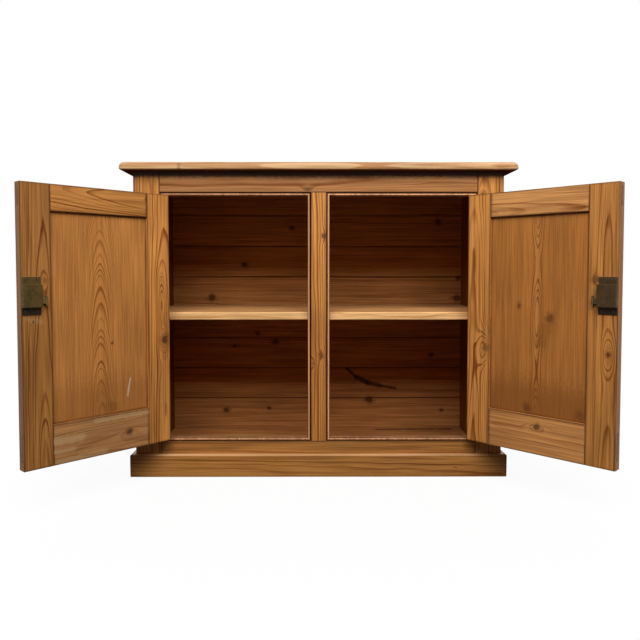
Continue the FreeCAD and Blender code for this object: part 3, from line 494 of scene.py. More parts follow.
def coat(material, look, colour, gloss, bump, depth, **more):
    """Wires a look to the material's shader, with its height as a bump."""
    tree = material.node_tree
    raised = add(tree, "ShaderNodeBump", {"Height": look["Height"], "Strength": bump, "Distance": depth * MM})
    feed(tree.nodes["Principled BSDF"],
         {"Base Color": colour, "Roughness": look["Roughness"], "Normal": raised[0],
          "Specular IOR Level": gloss} | more)
    return material


def around(place, radius, strength=1.0, tall=None, wide=None, rise=None):
    """A knot with the flow of the grain round it, in proportion to the knot unless it is told."""
    return Vector(place), radius, strength, tall or 4.5 * radius, wide or 2.4 * radius, rise or 1.3 * radius


def pine_material(name, space, half, light=HONEY, dark=AMBER, tone=1.0, ring=3.6, depth=36.0, side=6.0,
                  lean=0.02, swell=0.0, swell_length=400.0, wander=6.0, figure=0.85, seed=0.0, knots=(),
                  scars=(), per_board=False, grime=True, polish=0.15, streaks=1.0, arris_wood=GRIME_AND_SHADE_BROWN,
                  band=1000.0, hidden=(0, 0)):
    """Pine for one board. A knot is (place, radius) and may say how strong it is and how the grain flows, a
    scar is (start, end, width, colour, strength) and may say how ragged it is. Lengths are in millimetres.
    What a joint hides, along and across, is left out when dirt and painted shade are laid along its edges."""
    material, tree, placed, arris_mask = new_material(name)
    into = space.inverted()
    vector, facing = (add(tree, "ShaderNodeMapping", {
        "Vector": placed[kind], "Location": origin, "Rotation": space.to_euler()}, vector_type="TEXTURE")[0]
        for kind, origin in (("Object", space.to_translation()), ("Normal", (0, 0, 0))))
    facing = split(facing)
    end, flat = (step(facing[axis].absolute(), 0.6, 0.95) for axis in (0, 2))
    seen = step(facing[2], 0.1, 0.5)
    bow = lift = mask = 0.0
    for spot in knots:
        place, radius, strength, tall, across, rise = around(*spot)
        found = use_group(tree, knot, Vector=vector, Place=into @ place, Radius=radius * MM, Rise=rise * MM,
                          Strength=strength, Tall=tall * MM, Wide=across * MM, Bow=bow, Lift=lift, Mask=mask)
        bow, lift, mask = found["Bow"], found["Lift"], found["Mask"]
    edge = [size - lost * MM if grime else 1.0 for size, lost in zip(half, hidden)]
    wood = use_group(tree, pine, Vector=vector, Ring=ring * MM, Pith_Depth=depth * MM, Pith_Side=side * MM,
                     Seed=attribute(tree, "board") * APART_IN_LOG + seed if per_board else seed,
                     Lean=lean, Swell=swell * MM, Swell_Rate=2 * math.pi / (swell_length * MM),
                     Wander=wander * MM, Figure=figure, Streaks=streaks, Band=band * MM, Half_Length=edge[0],
                     Half_Width=edge[1], Bow=bow, Lift=lift, Knots=mask, Arris=arris_mask, End_Grain=end, Flat=flat,
                     Light_Wood=toned(light, tone), Dark_Wood=toned(dark, tone), Knot_Wood=KNOT_BROWN,
                     Arris_Wood=arris_wood)
    colour = wood["Color"]
    for start, end, width, paint, strength, *ragged in scars:
        ends = [(into @ Vector(place)) * Vector((1, 1, 0)) for place in (start, end)]
        line = use_group(tree, scar, Vector=vector, Start=ends[0], End=ends[1], Width=width * MM,
                         Strength=seen * strength, Ragged=ragged[0] if ragged else 1.0)["Mask"]
        colour = blend(line, colour, paint)
    return coat(material, wood, colour, polish, bump=0.4, depth=0.8)


def board(node, grain, face, arris=1.1, **look):
    """Eases one board, gives it its own pine and puts it in the node's place."""
    space, half = board_space(node, grain, face)
    piece = finished("planed_" + node, eased(node, arris), node)
    clad(piece, pine_material("pine_" + node, space, half, **look))
    return with_even_shading(piece)


# %% [markdown]
# Nobody waxes what nobody sees. Faces that look into the cupboard or down at the floor keep raw wood, which
# goes darker and redder and has no gloss, so such a board gets a second material on those faces. On the
# ends and under the top that material is made darker and redder still, as painted shade, where little light
# reaches and what does comes back red off the wood.


# %% Raw faces
def raw_face(piece, node, grain, face, tone, **look):
    """Gives the faces that look one way raw wood, cut from the same kind of board; a low tone paints shade
    too.
    """
    space, half = board_space(node, grain, face)
    piece.data.materials.append(pine_material("raw_" + node, space, half, tone=tone, **(RAW | look)))
    for polygon in piece.data.polygons:
        polygon.material_index = int(polygon.normal.dot(face) > 0.9)
    print(piece.name, "raw faces:", sum(polygon.material_index for polygon in piece.data.polygons))


# %% [markdown]
# ## The face frame and the ends
# The rails run across and the stiles and the mullion run up. They were sawn near the quarter, so they show
# close straight lines with an arch here and there.

# %% Face frame
# the painted shadow under the top board's overhang starts at this height, in millimetres
UNDER_TOP = 829
FRAME_TENON = 36


def at_front(across, up):
    """A point on the front of the face frame, in millimetres."""
    return Vector((across, 0, up)) * MM


def painted_overhang_shadow(start, end):
    """A painted shadow, near black, that the top board's overhang throws on the face frame close under it."""
    return at_front(start, UNDER_TOP), at_front(end, UNDER_TOP), 23, OVERHANG_SHADOW_BLACK, 0.95, 0.25


board("top_rail", X, -Y, light=(0.42, 0.185, 0.062, 1), hidden=(FRAME_TENON, 0), ring=3.4, depth=50, side=8,
      lean=0.006, seed=1.2, wander=4, figure=0.6, knots=[(at_front(-29, 783), 4, 0.8)],
      scars=[painted_overhang_shadow(-429, 429)])
board("bottom_rail", X, -Y, tone=0.72, hidden=(FRAME_TENON, 0), ring=3.8, depth=50, side=-20, lean=0.012,
      seed=2.6, figure=0.7)
# a broad band makes the mullion darker towards its foot
board("mullion", Z, -Y, tone=1.08, ring=4.4, depth=24, side=26, lean=0.006, seed=3.9, wander=4, figure=1.1,
      knots=[(at_front(14, 656), 4.5), (at_front(6.5, 333), 5, 0.8), (at_front(-15, 310), 3, 0.6)],
      scars=[(at_front(0, 400), at_front(0, 90), 70, DARKENING_BROWN, 0.22, 0.3)])
board("left_stile", Z, -Y, ring=3.8, depth=40, side=-12, lean=0.014, seed=5.1, figure=1.0,
      scars=[painted_overhang_shadow(-500, -429)])
board("right_stile", Z, -Y, ring=3.8, depth=36, side=12, lean=0.016, seed=6.4, figure=1.0,
      knots=[(at_front(443, 765), 5)], scars=[painted_overhang_shadow(429, 500)])
print("face frame dressed")

# %% Ends
left_end = board("left_side", Z, -X, ring=4.6, depth=60, side=30, lean=0.05, seed=8.3, wander=9,
                 knots=[((-0.5, 0.15, 0.52), 7), ((-0.5, 0.3, 0.24), 5, 0.9)])
right_end = board("right_side", Z, X, ring=4.4, depth=52, side=-40, lean=-0.045, seed=9.7, wander=9,
                  knots=[((0.5, 0.27, 0.61), 6), ((0.5, 0.12, 0.3), 8, 0.9)])
# the inner faces: raw wood, darker and redder as painted shade inside the cupboard
raw_face(left_end, "left_side", Z, X, 0.5, light=RAW_AND_SHADE_RED)
raw_face(right_end, "right_side", Z, -X, 0.5, light=RAW_AND_SHADE_RED)

# %% [markdown]
# ## The top
# The top is one wide board with a rounded nosing, which the frame already has, so only its back edges are
# eased. Its pith lies well below it, which gives broad arches along the middle. It has been scrubbed for
# years, so it is paler than the rest.

# %% Top board
SCRUBBED = (0.64, 0.39, 0.19, 1)
TOP_KNOTS = [((-0.371, -0.028, 0.846), 2.2, 0.5), ((-0.511, -0.018, 0.846), 2.4, 0.9),
             ((0.18, 0.12, 0.852), 8), ((-0.31, 0.27, 0.852), 6, 0.9), ((0.42, 0.3, 0.852), 5, 0.9)]
top = board("top_board", X, Z, light=SCRUBBED, dark=(0.40, 0.185, 0.065, 1), ring=4.6, depth=70, side=40,
            lean=0.04, seed=11.5, wander=11, arris_wood=SCRUBBED, knots=TOP_KNOTS)
# the underside: raw wood, darker as painted shade under the top
raw_face(top, "top_board", X, -Z, 0.5, polish=0.0, light=RAW_AND_SHADE_RED)

# %% [markdown]
# ## Plinth and beads
# The plinth is planted on at the foot, mitred at the corners; its upper faces are painted pale as a painted
# highlight. A bead with a fine quirk is planted round each opening; its strips run along the opening, so the
# upright strips turn the grain with them, and the quirk is painted near-black as painted shade.


# %% Plinth
def plinth(part, grain, face, **look):
    """One piece of the plinth, its upper faces painted pale as a painted highlight where light falls on them.
    """
    piece = board("plinth_" + part, grain, face, arris=2.2, ring=4.2, depth=45, arris_wood=WORN_AND_HIGHLIGHT_PALE, **look)
    mask = piece.data.attributes["arris"].data
    for polygon in piece.data.polygons:
        if polygon.normal.z > 0.25:
            mask[polygon.index].value = 1.0
    print(piece.name)


plinth("front", X, -Y, tone=0.8, side=-24, lean=0.012, seed=13.2, figure=0.7,
       scars=[(at_front(368, 27), at_front(377, 25), 1.8, SOOT_AND_SHADE_BLACK, 1.0)])
plinth("left", Y, -X, tone=0.78, side=-20, seed=14.1, figure=0.6)
plinth("right", Y, X, tone=0.78, side=-20, seed=15.7, figure=0.6)

# %% Beads
# the beads' eased edges are painted pale: wear, and a painted highlight
BEAD = {"ring": 2.4, "light": (0.74, 0.36, 0.17, 1), "figure": 0.4, "arris_wood": WORN_AND_HIGHLIGHT_PALE}
# the quirk's faces get near-black colours: painted shade in the groove
QUIRK_SHADE = {"light": GRIME_AND_SHADE_BROWN, "dark": SOOT_AND_SHADE_BLACK, "polish": 0.0}
QUIRK_START, QUIRK_DEPTH = 0.8 * MM, 3.2 * MM
STRIP_APART = 0.9


def bead(word, seed):
    """One opening's bead, each strip with the grain along it, and its quirk painted near-black as painted
    shade.
    """
    node = word + "_opening_bead"
    piece = finished("planed_" + node, eased(node, arris=0.4), node)
    looks = ((f"pine_{node}_rails", X, BEAD), (f"pine_{node}_uprights", Z, BEAD), (f"quirk_{node}", Z, QUIRK_SHADE))
    clad(piece, *(pine_material(name, *board_space(node, grain, -Y), seed=seed + STRIP_APART * order,
                                grime=False, **look) for order, (name, grain, look) in enumerate(looks)))
    with editing(piece.data) as work:
        for shell in islands(work):
            corners = [v.co for face in shell for v in face.verts]
            across, up = (max(c[axis] for c in corners) - min(c[axis] for c in corners) for axis in (0, 2))
            for face in shell:
                in_quirk = QUIRK_START < face.calc_center_median().y < QUIRK_DEPTH
                face.material_index = 2 if in_quirk else int(up > across)
    return with_even_shading(piece)


for word, seed in zip(WORDS, (17.0, 19.4)):
    print(bead(word, seed).name)

# %% [markdown]
# ## The back, the floor and the shelf
# The back is eight boards with tongues and grooves. It is one node, so each board gets a number as a mask,
# and the material cuts each number from another part of the log. Inside, the pine was never waxed: it has
# gone redder and darker, and has no polish. The shelf is a newer, paler board.


# %% Back boards
def at_back(across, up):
    """A point on the inner face of the back boards, in millimetres."""
    return Vector((across, 400, up)) * MM


BACK_KNOTS = [(-352, 471, 8), (-241, 581, 6), (-84, 704, 6), (-142, 323, 6.5), (-276, 309, 4.5),
              (-307, 93, 6), (-163, 100, 4), (402, 724, 6.5), (471, 537, 5), (468, 470, 8.5),
              (174, 127, 7.5), (382, 280, 5), (-200, 352, 5), (418, 92, 4)]
BARK_POCKET = [at_back(*spot) for spot in ((100, 233), (130, 205), (168, 186), (210, 176), (262, 166))]
planed = board("back_boards", X, -Y, arris=1.7, ring=3.6, depth=34, side=0, lean=0.016, seed=21.0, wander=9,
               figure=0.75, per_board=True, grime=False, **RAW,
               knots=[(at_back(across, up), radius) for across, up, radius in BACK_KNOTS],
               scars=[(start, end, width, SOOT_AND_SHADE_BLACK, 0.85, 0.45)
                      for start, end, width in zip(BARK_POCKET, BARK_POCKET[1:], (8, 13, 12, 7))])
with editing(planed.data) as work:
    number = work.faces.layers.float.new("board")
    shells = sorted(islands(work), key=lambda shell: min(v.co.z for face in shell for v in face.verts))
    for index, shell in enumerate(shells):
        for face in shell:
            face[number] = float(index)
print("back boards:", len(shells))

# %% Floor, shelf and battens
board("floor_board_front", X, Z, ring=4.0, depth=40, side=20, seed=23.3, **RAW)
board("floor_board_back", X, Z, ring=4.0, depth=44, side=-20, seed=24.9, **RAW,
      scars=[((0.2, 0.372, 0.0335), (0.44, 0.378, 0.0335), 14, SOOT_AND_SHADE_BLACK, 0.9)])
# the shelf's eased edges are painted paler: wear, and a painted highlight
shelf = board("shelf", X, Z, arris=0.9, light=(0.86, 0.50, 0.21, 1), dark=(0.56, 0.25, 0.075, 1), ring=4.2,
              depth=46, side=-30, lean=0.02, seed=26.2, wander=8, figure=0.7, polish=0.12, grime=False,
              arris_wood=(0.88, 0.58, 0.30, 1))
raw_face(shelf, "shelf", X, Z, 1.0, light=(0.66, 0.33, 0.125, 1), dark=(0.34, 0.13, 0.035, 1))
for word, seed in zip(WORDS, (28.0, 29.0)):
    print(board("top_batten_" + word, Y, -Z, seed=seed, **RAW).name)

# %% [markdown]
# ## The doors
# Each door is two stiles and two rails round a thin flat panel. The rails' tenons come right through the
# stiles and show on the edges. The left panel has a tall stack of narrow arches, the right one narrow
# loops, where the board wandered in and out of the same rings. On the stiles the grain makes tall ovals
# round the knots, so those are given their own flow.

# %% Door boards
HIDDEN = {"top_rail": (67, 0), "bottom_rail": (67, 0), "panel": (9, 9)}  # in the stiles and in the grooves
PANEL_FACE, FRAME_FACE = 22.5, 29.5


def door_board(word, part, knots=(), scars=(), **look):
    """One board of a door; knots and scars are placed by distance from the hinge axis and height."""
    away = 1 if word == "left" else -1
    deep = PANEL_FACE if part == "panel" else FRAME_FACE

    def on_face(out, up):
        return DOORS[word] @ (Vector((away * out, deep, up)) * MM)

    turn = DOORS[word].to_3x3()
    board(f"{word}_door_{part}", turn @ (X if part.endswith("rail") else Z), turn @ Y,
          hidden=HIDDEN.get(part, (0, 0)), knots=[(on_face(out, up), *rest) for out, up, *rest in knots],
          scars=[(on_face(*start), on_face(*end), *rest) for start, end, *rest in scars], **look)


door_board("left", "hinge_stile", tone=1.14, figure=1.1, ring=3.6, depth=40, side=-18, lean=0.012, seed=31.0,
           knots=[(17.4, 378, 8.0, 1.0, 36, 15, 22), (26, 475, 1.5, 0.2, 75, 14, 20)])
door_board("left", "lock_stile", tone=0.66, ring=3.4, depth=30, side=-16, lean=0.02, seed=36.9, wander=5,
           figure=1.0, knots=[(333, 539, 4, 0.5, 14, 7, 4)],
           scars=[((374, 452), (346, 447), 10, CHALK, 0.16), ((361, 449), (361, 445), 3.0, SOOT_AND_SHADE_BLACK, 0.8)])
door_board("left", "top_rail", tone=0.84, figure=1.0, ring=4.2, depth=34, side=-20, lean=0.06, seed=34.1,
           wander=8)
door_board("left", "bottom_rail", light=(0.47, 0.225, 0.080, 1), dark=(0.25, 0.095, 0.025, 1), ring=3.0,
           depth=60, side=24, seed=35.8, wander=5, figure=0.6, knots=[(123.8, 151.6, 5.5)],
           scars=[((70, 194), (215, 194), 10, CHALK, 0.35, 0.6),
                  ((250, 160), (318, 164), 15, CHALK, 0.4, 0.6),
                  ((190, 116), (310, 112), 10, CHALK, 0.3, 0.6),
                  ((270, 136), (318, 138), 8, CHALK, 0.35, 0.6)])
# a broad band makes the panel darker across its lower part
door_board("left", "panel", light=(0.50, 0.205, 0.050, 1), dark=(0.20, 0.055, 0.006, 1), ring=2.3, depth=34,
           side=2, lean=0.085, seed=37.2, wander=4, figure=1.0, streaks=0.3, band=30,
           knots=[(165, 381.6, 2), (165, 222, 8, 0.45)],
           scars=[((115.6, 288), (120, 265), 2.8, PUTTY, 1.0), ((120, 265), (124, 243), 3.8, PUTTY, 1.0),
                  ((90, 222), (300, 214), 120, DARKENING_BROWN, 0.36, 0.3)])
door_board("right", "hinge_stile", tone=1.1, figure=1.0, ring=3.8, depth=36, side=14, lean=0.018, seed=41.0,
           knots=[(55, 360, 5, 0.7, 48, 17, 22)])
door_board("right", "lock_stile", tone=0.97, figure=0.8, ring=2.8, depth=30, side=-15, lean=0.004, seed=42.6,
           wander=5, knots=[(367.6, 371, 4.5, 1.0, 36, 12, 10), (336.3, 543.5, 5.5, 0.8, 14, 8, 6)])
door_board("right", "top_rail", light=(0.61, 0.285, 0.095, 1), ring=3.4, depth=42, side=22, lean=-0.03,
           seed=44.0, wander=7, figure=0.6)
door_board("right", "bottom_rail", light=(0.60, 0.27, 0.085, 1), ring=3.0, depth=60, side=-10, lean=0.008,
           seed=45.3, wander=3, figure=0.5, knots=[(198.2, 175.5, 5)])
# a broad band makes the panel darker across its lower part
door_board("right", "panel", light=(0.44, 0.168, 0.036, 1), dark=(0.15, 0.038, 0.004, 1), ring=1.9, depth=14,
           side=0, lean=0.0, swell=-2.2, swell_length=260, seed=47.7, wander=5, figure=1.0, streaks=0.5,
           band=15, knots=[(145, 473.3, 4, 0.8), (226.5, 447.3, 5.5, 0.9), (169, 218.3, 6, 0.95),
                           (303, 218.2, 7.5, 0.7)],
           scars=[((191, 680), (189, 345), 8, (0.66, 0.33, 0.11, 1), 0.2, 0.8),
                  ((90, 222), (315, 214), 110, DARKENING_BROWN, 0.55, 0.3),
                  ((226, 447), (205, 385), 26, DARKENING_BROWN, 0.45, 0.6)])
print("doors dressed")

# %% [markdown]
# ## Old brass and steel
# Brass that isn't polished goes brown and dull, with dirt where fingers don't reach and a brighter rim
# where they do. One group does it for hinges, latches, knobs and screws, each with its own three colours.

# %% Shader group: patina
patina, given, gives = new_group(
    "ShaderNodeTree", "patina",
    {"Vector": "Vector", "Arris": 0.0, "Dull": "Color", "Bright": "Color", "Dirt": "Color", "Spread": 0.5,
     "Scuffs": 0.5, "Tarnish": 0.3},
    {"Color": "Color", "Roughness": "Float", "Metal": "Float", "Height": "Float"})
blotch = noise(given["Vector"], (55, 55, 55), detail=5.0, roughness=0.6)
fine = noise(given["Vector"], (700, 700, 700), detail=3.0)
scuff = noise(given["Vector"], (160, 160, 420), detail=4.0, roughness=0.7)
dirty = step(blotch + given["Spread"], 0.85, 1.25) * 0.7
scraped = step(scuff, 0.62, 0.72) * given["Scuffs"]
bare = scraped.maximum(given["Arris"] * step(blotch, 0.3, 0.6, 0.35, 0.9))
metal = blend(bare, blend(dirty, given["Dull"], given["Dirt"]), given["Bright"])
clean = dirty * -1.0 + 1.0
feed(gives, {"Color": vectors("SCALE", metal, Scale=step(fine, 0.3, 0.7, 0.88, 1.1)),
             "Metal": (given["Tarnish"] * -1.0 + 1.0).maximum(bare) * clean,
             "Roughness": clean * -0.2 + fine * 0.15 + 0.62,
             "Height": blotch * 0.8 + fine * 0.2 + scraped * -0.5})
print("patina group:", len(patina.nodes), "nodes")

# %% Metal materials
# near black, for the painted shadow that a latch case throws on its flange
CASE_SHADOW_BLACK = (0.012, 0.006, 0.003, 1)


def metal_material(name, dull, bright, dirt, spread, scuffs, tarnish, gloss=0.3, shaded_below=None):
    """A metal that has aged, for everything that is made of it. Below a height it may be painted black as a
    painted shadow.
    """
    material, tree, placed, arris_mask = new_material(name)
    aged = use_group(tree, patina, Vector=placed["Object"], Arris=arris_mask, Dull=dull, Bright=bright, Dirt=dirt,
                     Spread=spread, Scuffs=scuffs, Tarnish=tarnish)
    colour = aged["Color"]
    if shaded_below is not None:
        # below that height the colour turns near-black: a painted shadow of the latch case on the flange
        case_shadow = step(split(placed["Object"])[2], shaded_below - 2 * MM, shaded_below, 0.85, 0.0)
        colour = blend(case_shadow, colour, CASE_SHADOW_BLACK)
    return coat(material, aged, colour, gloss, bump=0.3, depth=0.4, Metallic=aged["Metal"])


METALS = {name: metal_material(name, *look) for name, look in {
    "hinge_brass": ((0.27, 0.18, 0.065, 1), (0.52, 0.38, 0.17, 1), (0.05, 0.03, 0.010, 1), 0.5, 0.5, 0.3),
    "knob_brass": ((0.40, 0.26, 0.085, 1), (0.72, 0.53, 0.24, 1), (0.06, 0.034, 0.012, 1), 0.42, 0.2, 0.1),
    "steel_screws": ((0.06, 0.042, 0.022, 1), (0.26, 0.20, 0.13, 1), (0.02, 0.013, 0.007, 1), 0.5, 0.4, 0.9,
                     0.15),
    "iron_fixings": ((0.09, 0.065, 0.048, 1), (0.20, 0.15, 0.12, 1), (0.06, 0.02, 0.008, 1), 0.6, 0.3, 0.8),
}.items()}
print("metals:", ", ".join(METALS))


# %% Brass from the frame
def metal_piece(node, arris, metal=None):
    """A metal part of the frame with its edges broken, in its own metal."""
    piece = finished("filed_" + node, eased(node, arris, shortest=0.8 * arris, sharpest=50.0), node)
    clad(piece, metal or METALS[SLOTS[node]])
    return with_even_shading(piece)


for word in WORDS:
    for level in ("upper", "lower"):
        for part in ("frame_leaf", "door_leaf", "pin"):
            metal_piece(f"{word}_{level}_hinge_{part}", 0.15)
    for part in ("spindle", "knob_rose"):
        metal_piece(f"{word}_{part}", 0.2)
print("hinges filed")

# %% [markdown]
# The latches are the darkest brass, and the two haven't aged alike. The flange under each case is painted
# black, as the shadow that the case casts on it. The finger plate is the one part that is touched every
# day, and it is painted brighter, partly as wear and partly as a painted highlight.

# %% Latches
LATCH_BRASS = {"left": (0.094, 0.058, 0.015, 1), "right": (0.064, 0.036, 0.014, 1)}
LATCH_BRIGHT, LATCH_DIRT = (0.34, 0.25, 0.13, 1), (0.034, 0.020, 0.006, 1)
# the bolt and its finger plate are painted brighter: wear, and a painted highlight
TOUCHED_AND_HIGHLIGHT = 1.7
for word, dull in LATCH_BRASS.items():
    under_case = min(vertex.co.z for vertex in NODES[word + "_lock_case"].data.vertices)
    for part, arris, amount, scuffs, below in (("lock_case", 0.5, 1.0, 0.6, None),
                                               ("lock_plate", 0.4, 1.0, 0.8, under_case),
                                               ("lock_bolt", 0.4, TOUCHED_AND_HIGHLIGHT, 0.9, None)):
        metal_piece(f"{word}_{part}", arris, metal_material(
            f"{word}_{part}_brass", toned(dull, amount), LATCH_BRIGHT, LATCH_DIRT, 0.5, scuffs, 0.92,
            gloss=0.12, shaded_below=below))
print("latches filed")

# %% [markdown]
# ## The knobs
# A knob is turned on a lathe, so it is a profile spun round its own axis: a foot, a hollow neck, a small
# ring, and a flattened ball with a button. A curve with a Screw modifier could do it; a short list of rings
# in code gives the same skin with its poles closed.

# %% Knobs
KNOB_PROFILE = [(8.4, 0.0), (8.4, 1.4), (7.0, 2.6), (5.6, 5.0), (4.9, 7.8), (5.2, 9.8), (6.8, 10.8),
                (7.1, 11.8), (6.6, 12.8), (8.4, 13.2), (11.6, 14.2), (13.5, 16.2), (13.9, 17.8),
                (13.3, 19.6), (11.2, 21.6), (8.0, 23.0), (5.4, 23.7), (5.0, 24.3), (3.6, 25.1), (1.6, 25.5)]
ROUND = 48
KNOB_CREASE = math.radians(50)


def lathe(word):
    """A turned knob on the outer face of one door, on the frame's own knob."""
    node = word + "_knob"
    door = DOORS[word].to_3x3()
    space, half = board_space(node, door @ X, -(door @ Y))
    turns = [2 * math.pi * index / ROUND for index in range(ROUND)]
    mesh = bpy.data.meshes.new(node + "_turned")
    with editing(mesh) as work:
        rings = [[work.verts.new(space @ Vector((radius * MM * math.cos(turn), radius * MM * math.sin(turn),
                                                 out * MM - half[2]))) for turn in turns]
                 for radius, out in KNOB_PROFILE]
        for low, high in zip(rings, rings[1:]):
            for index in range(ROUND):
                after = (index + 1) % ROUND
                work.faces.new((low[index], low[after], high[after], high[index]))
        work.faces.new(rings[0][::-1])
        work.faces.new(rings[-1])
        bmesh.ops.recalc_face_normals(work, faces=work.faces)
        for face in work.faces:
            face.smooth = True
    mesh.set_sharp_from_angle(angle=KNOB_CREASE)
    mesh.materials.append(METALS["knob_brass"])
    return finished("turned_" + node, mesh, node)


for word in WORDS:
    print(lathe(word).name)

# %% [markdown]
# ## Screws and nails
# There are dozens of fixings, all alike, which is work for Geometry Nodes: one head, with its slot cut by a
# boolean, is set on every point that holds a fixing. Each is turned by a random angle, because no joiner
# lines up every slot. The sizes are inputs, so the same tree makes screws, and nails that have no slot.

# %% Geometry Nodes: fixing heads
fixings, given, gives = new_group(
    "GeometryNodeTree", "fixing heads",
    {"Geometry": "Geometry", "Head Radius": 0.0029, "Head Height": 0.0009, "Slot Width": 0.0006,
     "Slot Depth": 0.0005, "Proud": 0.0001, "Sides": 24, "Metal": "Material", "Seed": 0},
    {"Geometry": "Geometry"})


def shape(kind, feeds, **settings):
    """Adds a node to the fixing tree and gives what it makes."""
    return add(fixings, "GeometryNode" + kind, feeds, **settings)[0]


def reckon(kind, feeds, out=0, **settings):
    """Adds a node that works out a turn or a number for it."""
    return add(fixings, "FunctionNode" + kind, feeds, **settings)[out]


disc = shape("MeshCylinder", {"Vertices": given["Sides"], "Radius": given["Head Radius"],
                              "Depth": given["Head Height"]})
lowered = point(fixings, Z=given["Head Height"] * -0.5 + given["Proud"])
head = shape("Transform", {"Geometry": disc, "Translation": lowered})
slot_size = point(fixings, X=given["Head Radius"] * 2.4, Y=given["Slot Width"], Z=given["Slot Depth"] * 2.0)
cutter = shape("MeshCube", {"Size": slot_size})
blade = shape("Transform", {"Geometry": cutter, "Translation": point(fixings, Z=given["Proud"])})
slotted = shape("MeshBoolean", {0: head, 1: blade}, operation="DIFFERENCE", solver="EXACT")
outward = shape("InputNamedAttribute", {"Name": "outward"}, data_type="FLOAT_VECTOR")
facing = reckon("AlignRotationToVector", {"Vector": outward}, axis="Z")
spin = reckon("RandomValue", {2: 0.0, 3: math.pi, "Seed": given["Seed"]}, out=1, data_type="FLOAT")
about = reckon("AxisAngleToRotation", {"Axis": (0, 0, 1), "Angle": spin})
both = reckon("RotateRotation", {0: facing, 1: about}, rotation_space="LOCAL")
spread = shape("InstanceOnPoints", {"Points": given["Geometry"], "Instance": slotted, "Rotation": both})
real = shape("RealizeInstances", {0: spread})
feed(gives, {"Geometry": shape("SetMaterial", {"Geometry": real, "Material": given["Metal"]})})
print("fixing tree:", len(fixings.nodes), "nodes")

# %% [markdown]
# Where the fixings go is read from the frame. Each screw there is a shell of its own; the long direction of
# its points is its axis, and the end where they spread widest is its head.

# %% Set the fixings
SUNK = -0.05 * MM  # the leaves of a shut hinge lie face to face, so no head may stand proud of them
NAIL = {"Slot_Width": 0.00005, "Slot_Depth": 0.00002, "Sides": 9, "Head_Radius": 0.0026,
        "Head_Height": 0.001, "Proud": 0.0}


def heads_of(node):
    """The middle of each fixing's head and the way it faces."""
    work = bmesh.new()
    work.from_mesh(NODES[node].data)
    bmesh.ops.remove_doubles(work, verts=work.verts, dist=SAME_POINT)
    found = []
    for shell in islands(work):
        points = numpy.array([tuple(v.co) for v in {v for f in shell for v in f.verts}])
        centre = (points.min(0) + points.max(0)) / 2
        axis = numpy.linalg.svd(points - points.mean(0))[2][0]
        along = (points - centre) @ axis
        wide = numpy.linalg.norm((points - centre) - numpy.outer(along, axis), axis=1)
        if along[wide.argmax()] < 0:
            axis, along = -axis, -along
        end = points[along > along.max() - 0.01 * MM]
        found.append((Vector((end.min(0) + end.max(0)) / 2), Vector(axis)))
    work.free()
    return found


def set_fixings(name, node, **inputs):
    """Runs the fixing tree on one node's fixings and keeps the result as a plain mesh."""
    heads = heads_of(node)
    mesh = bpy.data.meshes.new(name)
    mesh.from_pydata([place for place, _ in heads], [], [])
    outward = mesh.attributes.new("outward", "FLOAT_VECTOR", "POINT")
    for index, (_, direction) in enumerate(heads):
        outward.data[index].vector = direction
    carrier = bpy.data.objects.new(name + "_points", mesh)
    bpy.context.scene.collection.objects.link(carrier)
    modifier = carrier.modifiers.new("fixings", "NODES")
    modifier.node_group = fixings
    values = {"Metal": METALS[SLOTS[node]]} | {key.replace("_", " "): value for key, value in inputs.items()}
    for item in fixings.interface.items_tree:
        if item.in_out == "INPUT" and item.name in values:
            modifier[item.identifier] = values[item.name]
    made = settled(carrier)
    bpy.data.objects.remove(carrier)
    finished(name, made, node)
    print(name, "heads:", len(heads), "faces:", len(made.polygons))


for order, word in enumerate(WORDS):
    set_fixings(word + "_hinge_screws_in_door", word + "_door_hinge_screws", Seed=3 + order, Proud=SUNK)
    set_fixings(word + "_latch_screws", word + "_lock_screws", Seed=7 + order)
set_fixings("hinge_screws_in_frame", "frame_hinge_screws", Seed=11, Proud=SUNK)
set_fixings("batten_screws", "top_batten_screws", Seed=13)
set_fixings("back_nails", "back_board_nails", Seed=17, **NAIL)

# %% [markdown]
# ## Floor, light and background
# The cupboard stands under one wide soft panel, high in front and near, so that each bay is dark at its top
# and brighter downwards, and the top board throws a deep shadow on the rail, which a painted shadow on the
# face frame deepens. A second panel is only there for a walk round the back. The floor and the room give
# little light back, but to the eye and to shiny metal they are white, and the floor keeps a soft shadow near
# the cupboard.

# %% Floor
REACH = 14.0
BELOW = -0.4 * MM  # under the feet by a hair, so that no two faces share a plane
SHADOW_NEAR, SHADOW_FAR, LEAST_WHITE = 0.45, 1.0, 0.94
floor_mesh = bpy.data.meshes.new("floor")
floor_mesh.from_pydata([(-REACH, -REACH, 0), (REACH, -REACH, 0), (REACH, REACH, 0), (-REACH, REACH, 0)], [],
                       [(0, 1, 2, 3)])
floor = bpy.data.objects.new("floor", floor_mesh)
floor.location.z = BELOW
bpy.context.scene.collection.objects.link(floor)
paint = bpy.data.materials.new("pale_floor")
paint.use_nodes = True
tree = paint.node_tree
tree.nodes.clear()


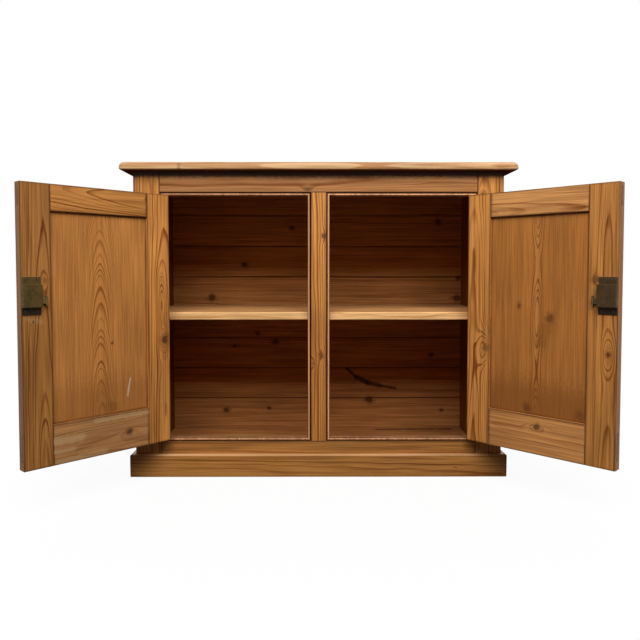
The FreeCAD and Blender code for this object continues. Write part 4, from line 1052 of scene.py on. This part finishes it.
def put_out(tree, output, lit, shown):
    """Sends out one shader as light, and another to the eye, to mirrors and through glass."""
    rays = add(tree, "ShaderNodeLightPath")
    looked_at = rays["Is Camera Ray"].maximum(rays["Is Glossy Ray"]).maximum(rays["Is Transmission Ray"])
    mixed = add(tree, "ShaderNodeMixShader", {0: looked_at, 1: lit, 2: shown})[0]
    add(tree, "ShaderNodeOutput" + output, {"Surface": mixed})


away = vectors("LENGTH", add(tree, "ShaderNodeTexCoord")["Object"], out=1)
unlit = step(away, SHADOW_NEAR, SHADOW_FAR, LEAST_WHITE, 1.0)
matt = add(tree, "ShaderNodeBsdfDiffuse", {"Color": (0.06, 0.058, 0.055, 1)})[0]
pale = add(tree, "ShaderNodeBsdfDiffuse", {"Color": (0.9, 0.9, 0.9, 1)})[0]
white = add(tree, "ShaderNodeEmission", {"Color": (1, 1, 1, 1), "Strength": 1.0})[0]
looks = add(tree, "ShaderNodeMixShader", {0: unlit, 1: pale, 2: white})[0]
put_out(tree, "Material", matt, looks)
floor_mesh.materials.append(paint)
print("floor laid")


# %% Lamps and room
def soft_panel(name, place, aim, width, height, power):
    """A soft rectangular light that faces a point and isn't seen itself."""
    lamp = bpy.data.lights.new(name, "AREA")
    lamp.shape, lamp.size, lamp.size_y, lamp.energy = "RECTANGLE", width, height, power
    stand = bpy.data.objects.new(name, lamp)
    stand.location = place
    stand.rotation_euler = (Vector(aim) - Vector(place)).to_track_quat("-Z", "Y").to_euler()
    stand.visible_camera = False
    bpy.context.scene.collection.objects.link(stand)


soft_panel("front_panel", (0.0, -1.85, 2.47), (0, 0, 0.72), 2.6, 1.6, 106.0)
soft_panel("back_panel", (0, 2.6, 2.0), (0, 0.3, 0.4), 4.4, 1.8, 60.0)
room = bpy.data.worlds.new("white_room")
room.use_nodes = True
bpy.context.scene.world = room
tree = room.node_tree
tree.nodes.clear()
dim, plain = (add(tree, "ShaderNodeBackground", {"Color": (1, 1, 1, 1), "Strength": strength})[0]
              for strength in (0.009, 1.0))
put_out(tree, "World", dim, plain)
bpy.context.scene.view_settings.view_transform = "Standard"
print("lamps:", len(bpy.data.lights))
